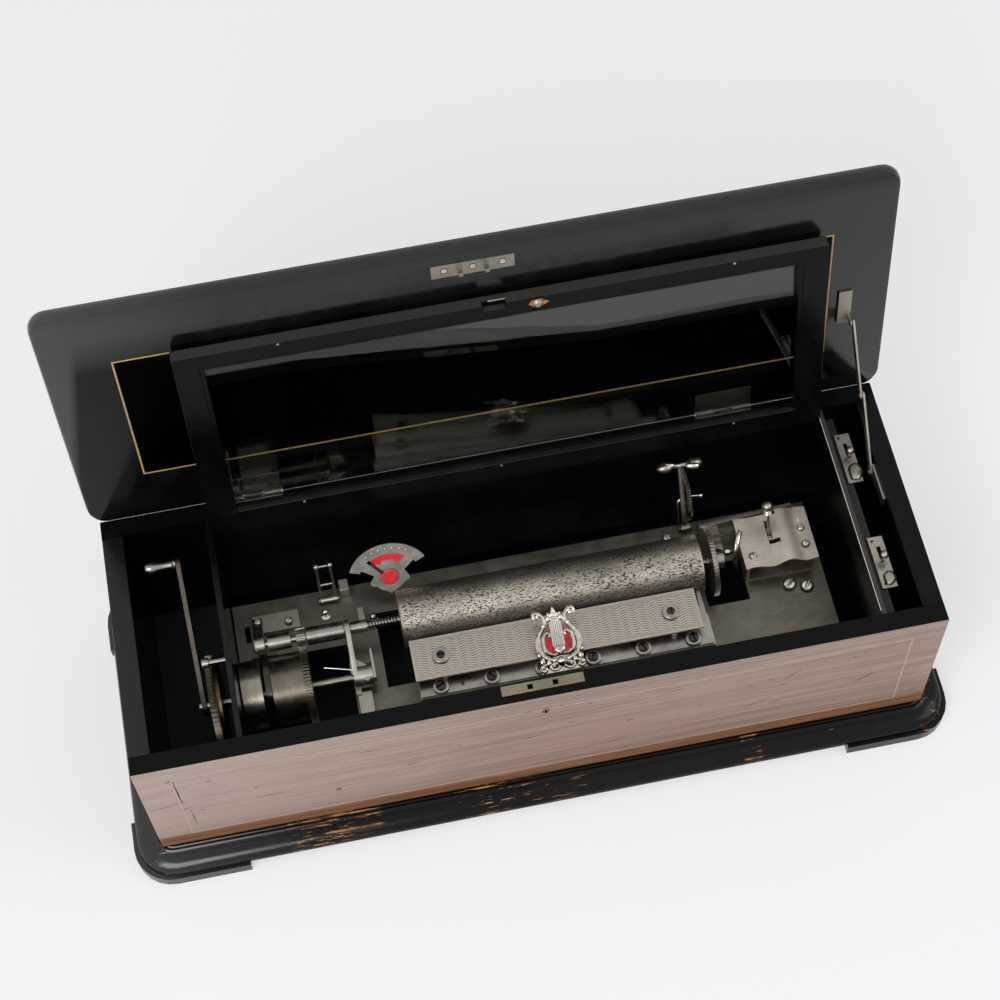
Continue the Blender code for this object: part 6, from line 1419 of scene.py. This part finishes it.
# Floor, lamps and camera

stageLook = {
    "floorSize": 14,
    "paper": ("#eeeeef", "#f4f4f5"),
    "fibreSize": 900,
    "skyForLight": 0.5,
    "floorGlow": 0.5,
    "skySeen": 0.95,
}


def seenDirectly(tree):
    # 1 where the eye, a reflection or the glass looks at the surface, and 0 where it lights something
    rays = addNode(tree, "LightPath").outputs
    return joined("MAXIMUM", rays["Is Camera Ray"], rays["Is Glossy Ray"], rays["Is Transmission Ray"])


def makeStage(look):
    size = look["floorSize"] / 2
    mesh = bpy.data.meshes.new("studioFloor")
    mesh.from_pydata([(-size, -size, 0), (size, -size, 0), (size, size, 0), (-size, size, 0)], [], [(0, 1, 2, 3)])
    floor = bpy.data.objects.new("studioFloor", mesh)
    bpy.context.scene.collection.objects.link(floor)
    # White paper sweep: matt and even, a touch brighter where it is looked at, so that it shows as a pale ground.
    material, tree, shader = startMaterial("matt white studio paper", {"Roughness": 0.9, "Specular IOR Level": 0.1})
    fibre = cloudOf(tree, look["fibreSize"], 2, 0.5)
    plugIn(shader, {"Base Color": blended(fibre, *look["paper"])})
    glow = addNode(tree, "Emission", {"Color": "#ffffff", "Strength": 1}).outputs[0]
    share = multiplied(seenDirectly(tree), look["floorGlow"])
    mixed = addNode(tree, "MixShader", {}, {0: share, 1: shader.outputs[0], 2: glow}).outputs[0]
    tree.links.new(mixed, tree.nodes["Material Output"].inputs["Surface"])
    mesh.materials.append(material)

    world = bpy.data.worlds.new("studio")
    world.use_nodes = True
    tree = world.node_tree
    tree.nodes.clear()
    strength = ranged(seenDirectly(tree), 0, 1, look["skyForLight"], look["skySeen"])
    background = addNode(tree, "Background", {"Color": (1, 1, 1, 1)}, {"Strength": strength})
    addNode(tree, "OutputWorld", {}, {"Surface": background.outputs[0]})
    bpy.context.scene.world = world


lampLook = {
    "keySoftbox": {"place": (-1.3, -1.7, 2.3), "aim": (0, 0, 0.1), "size": 1.6, "watts": 42},
    "fillSoftbox": {"place": (1.9, -0.6, 1.8), "aim": (0, 0, 0.1), "size": 1.4, "watts": 14},
}


def makeLamps(look):
    for name, lamp in look.items():
        light = bpy.data.lights.new(name, "AREA")
        light.shape = "SQUARE"
        light.size = lamp["size"]
        light.energy = lamp["watts"]
        holder = bpy.data.objects.new(name, light)
        bpy.context.scene.collection.objects.link(holder)
        holder.location = lamp["place"]
        holder.rotation_euler = (Vector(lamp["aim"]) - Vector(lamp["place"])).to_track_quat("-Z", "Y").to_euler()


cameraLook = {
    "place": (-0.13731, -0.83402, 1.79154),
    "headingRadians": 0.15212,
    "downRadians": 1.05839,
    "rollRadians": -0.04917,
    "lensMm": 76.197,
    "sensorMm": 36,
    "clipMetres": 0.05,
}


def makeCamera(look):
    heading, down, roll = look["headingRadians"], look["downRadians"], look["rollRadians"]
    ahead = Vector((math.sin(heading) * math.cos(down), math.cos(heading) * math.cos(down), -math.sin(down)))
    level = Vector((math.cos(heading), -math.sin(heading), 0))
    upward = level.cross(ahead)
    across = level * math.cos(roll) + upward * math.sin(roll)
    up = upward * math.cos(roll) - level * math.sin(roll)
    lens = bpy.data.cameras.new("photoCamera")
    lens.lens = look["lensMm"]
    lens.sensor_width = look["sensorMm"]
    lens.sensor_fit = "HORIZONTAL"
    lens.clip_start = look["clipMetres"]
    camera = bpy.data.objects.new("photoCamera", lens)
    turn = Matrix((across, up, -ahead)).transposed()
    camera.matrix_world = Matrix.Translation(look["place"]) @ turn.to_4x4()
    bpy.context.scene.collection.objects.link(camera)
    bpy.context.scene.camera = camera


makeStage(stageLook)
makeLamps(lampLook)
makeCamera(cameraLook)
bpy.context.scene.view_settings.view_transform = "Standard"
print("floor, lamps and camera are set")
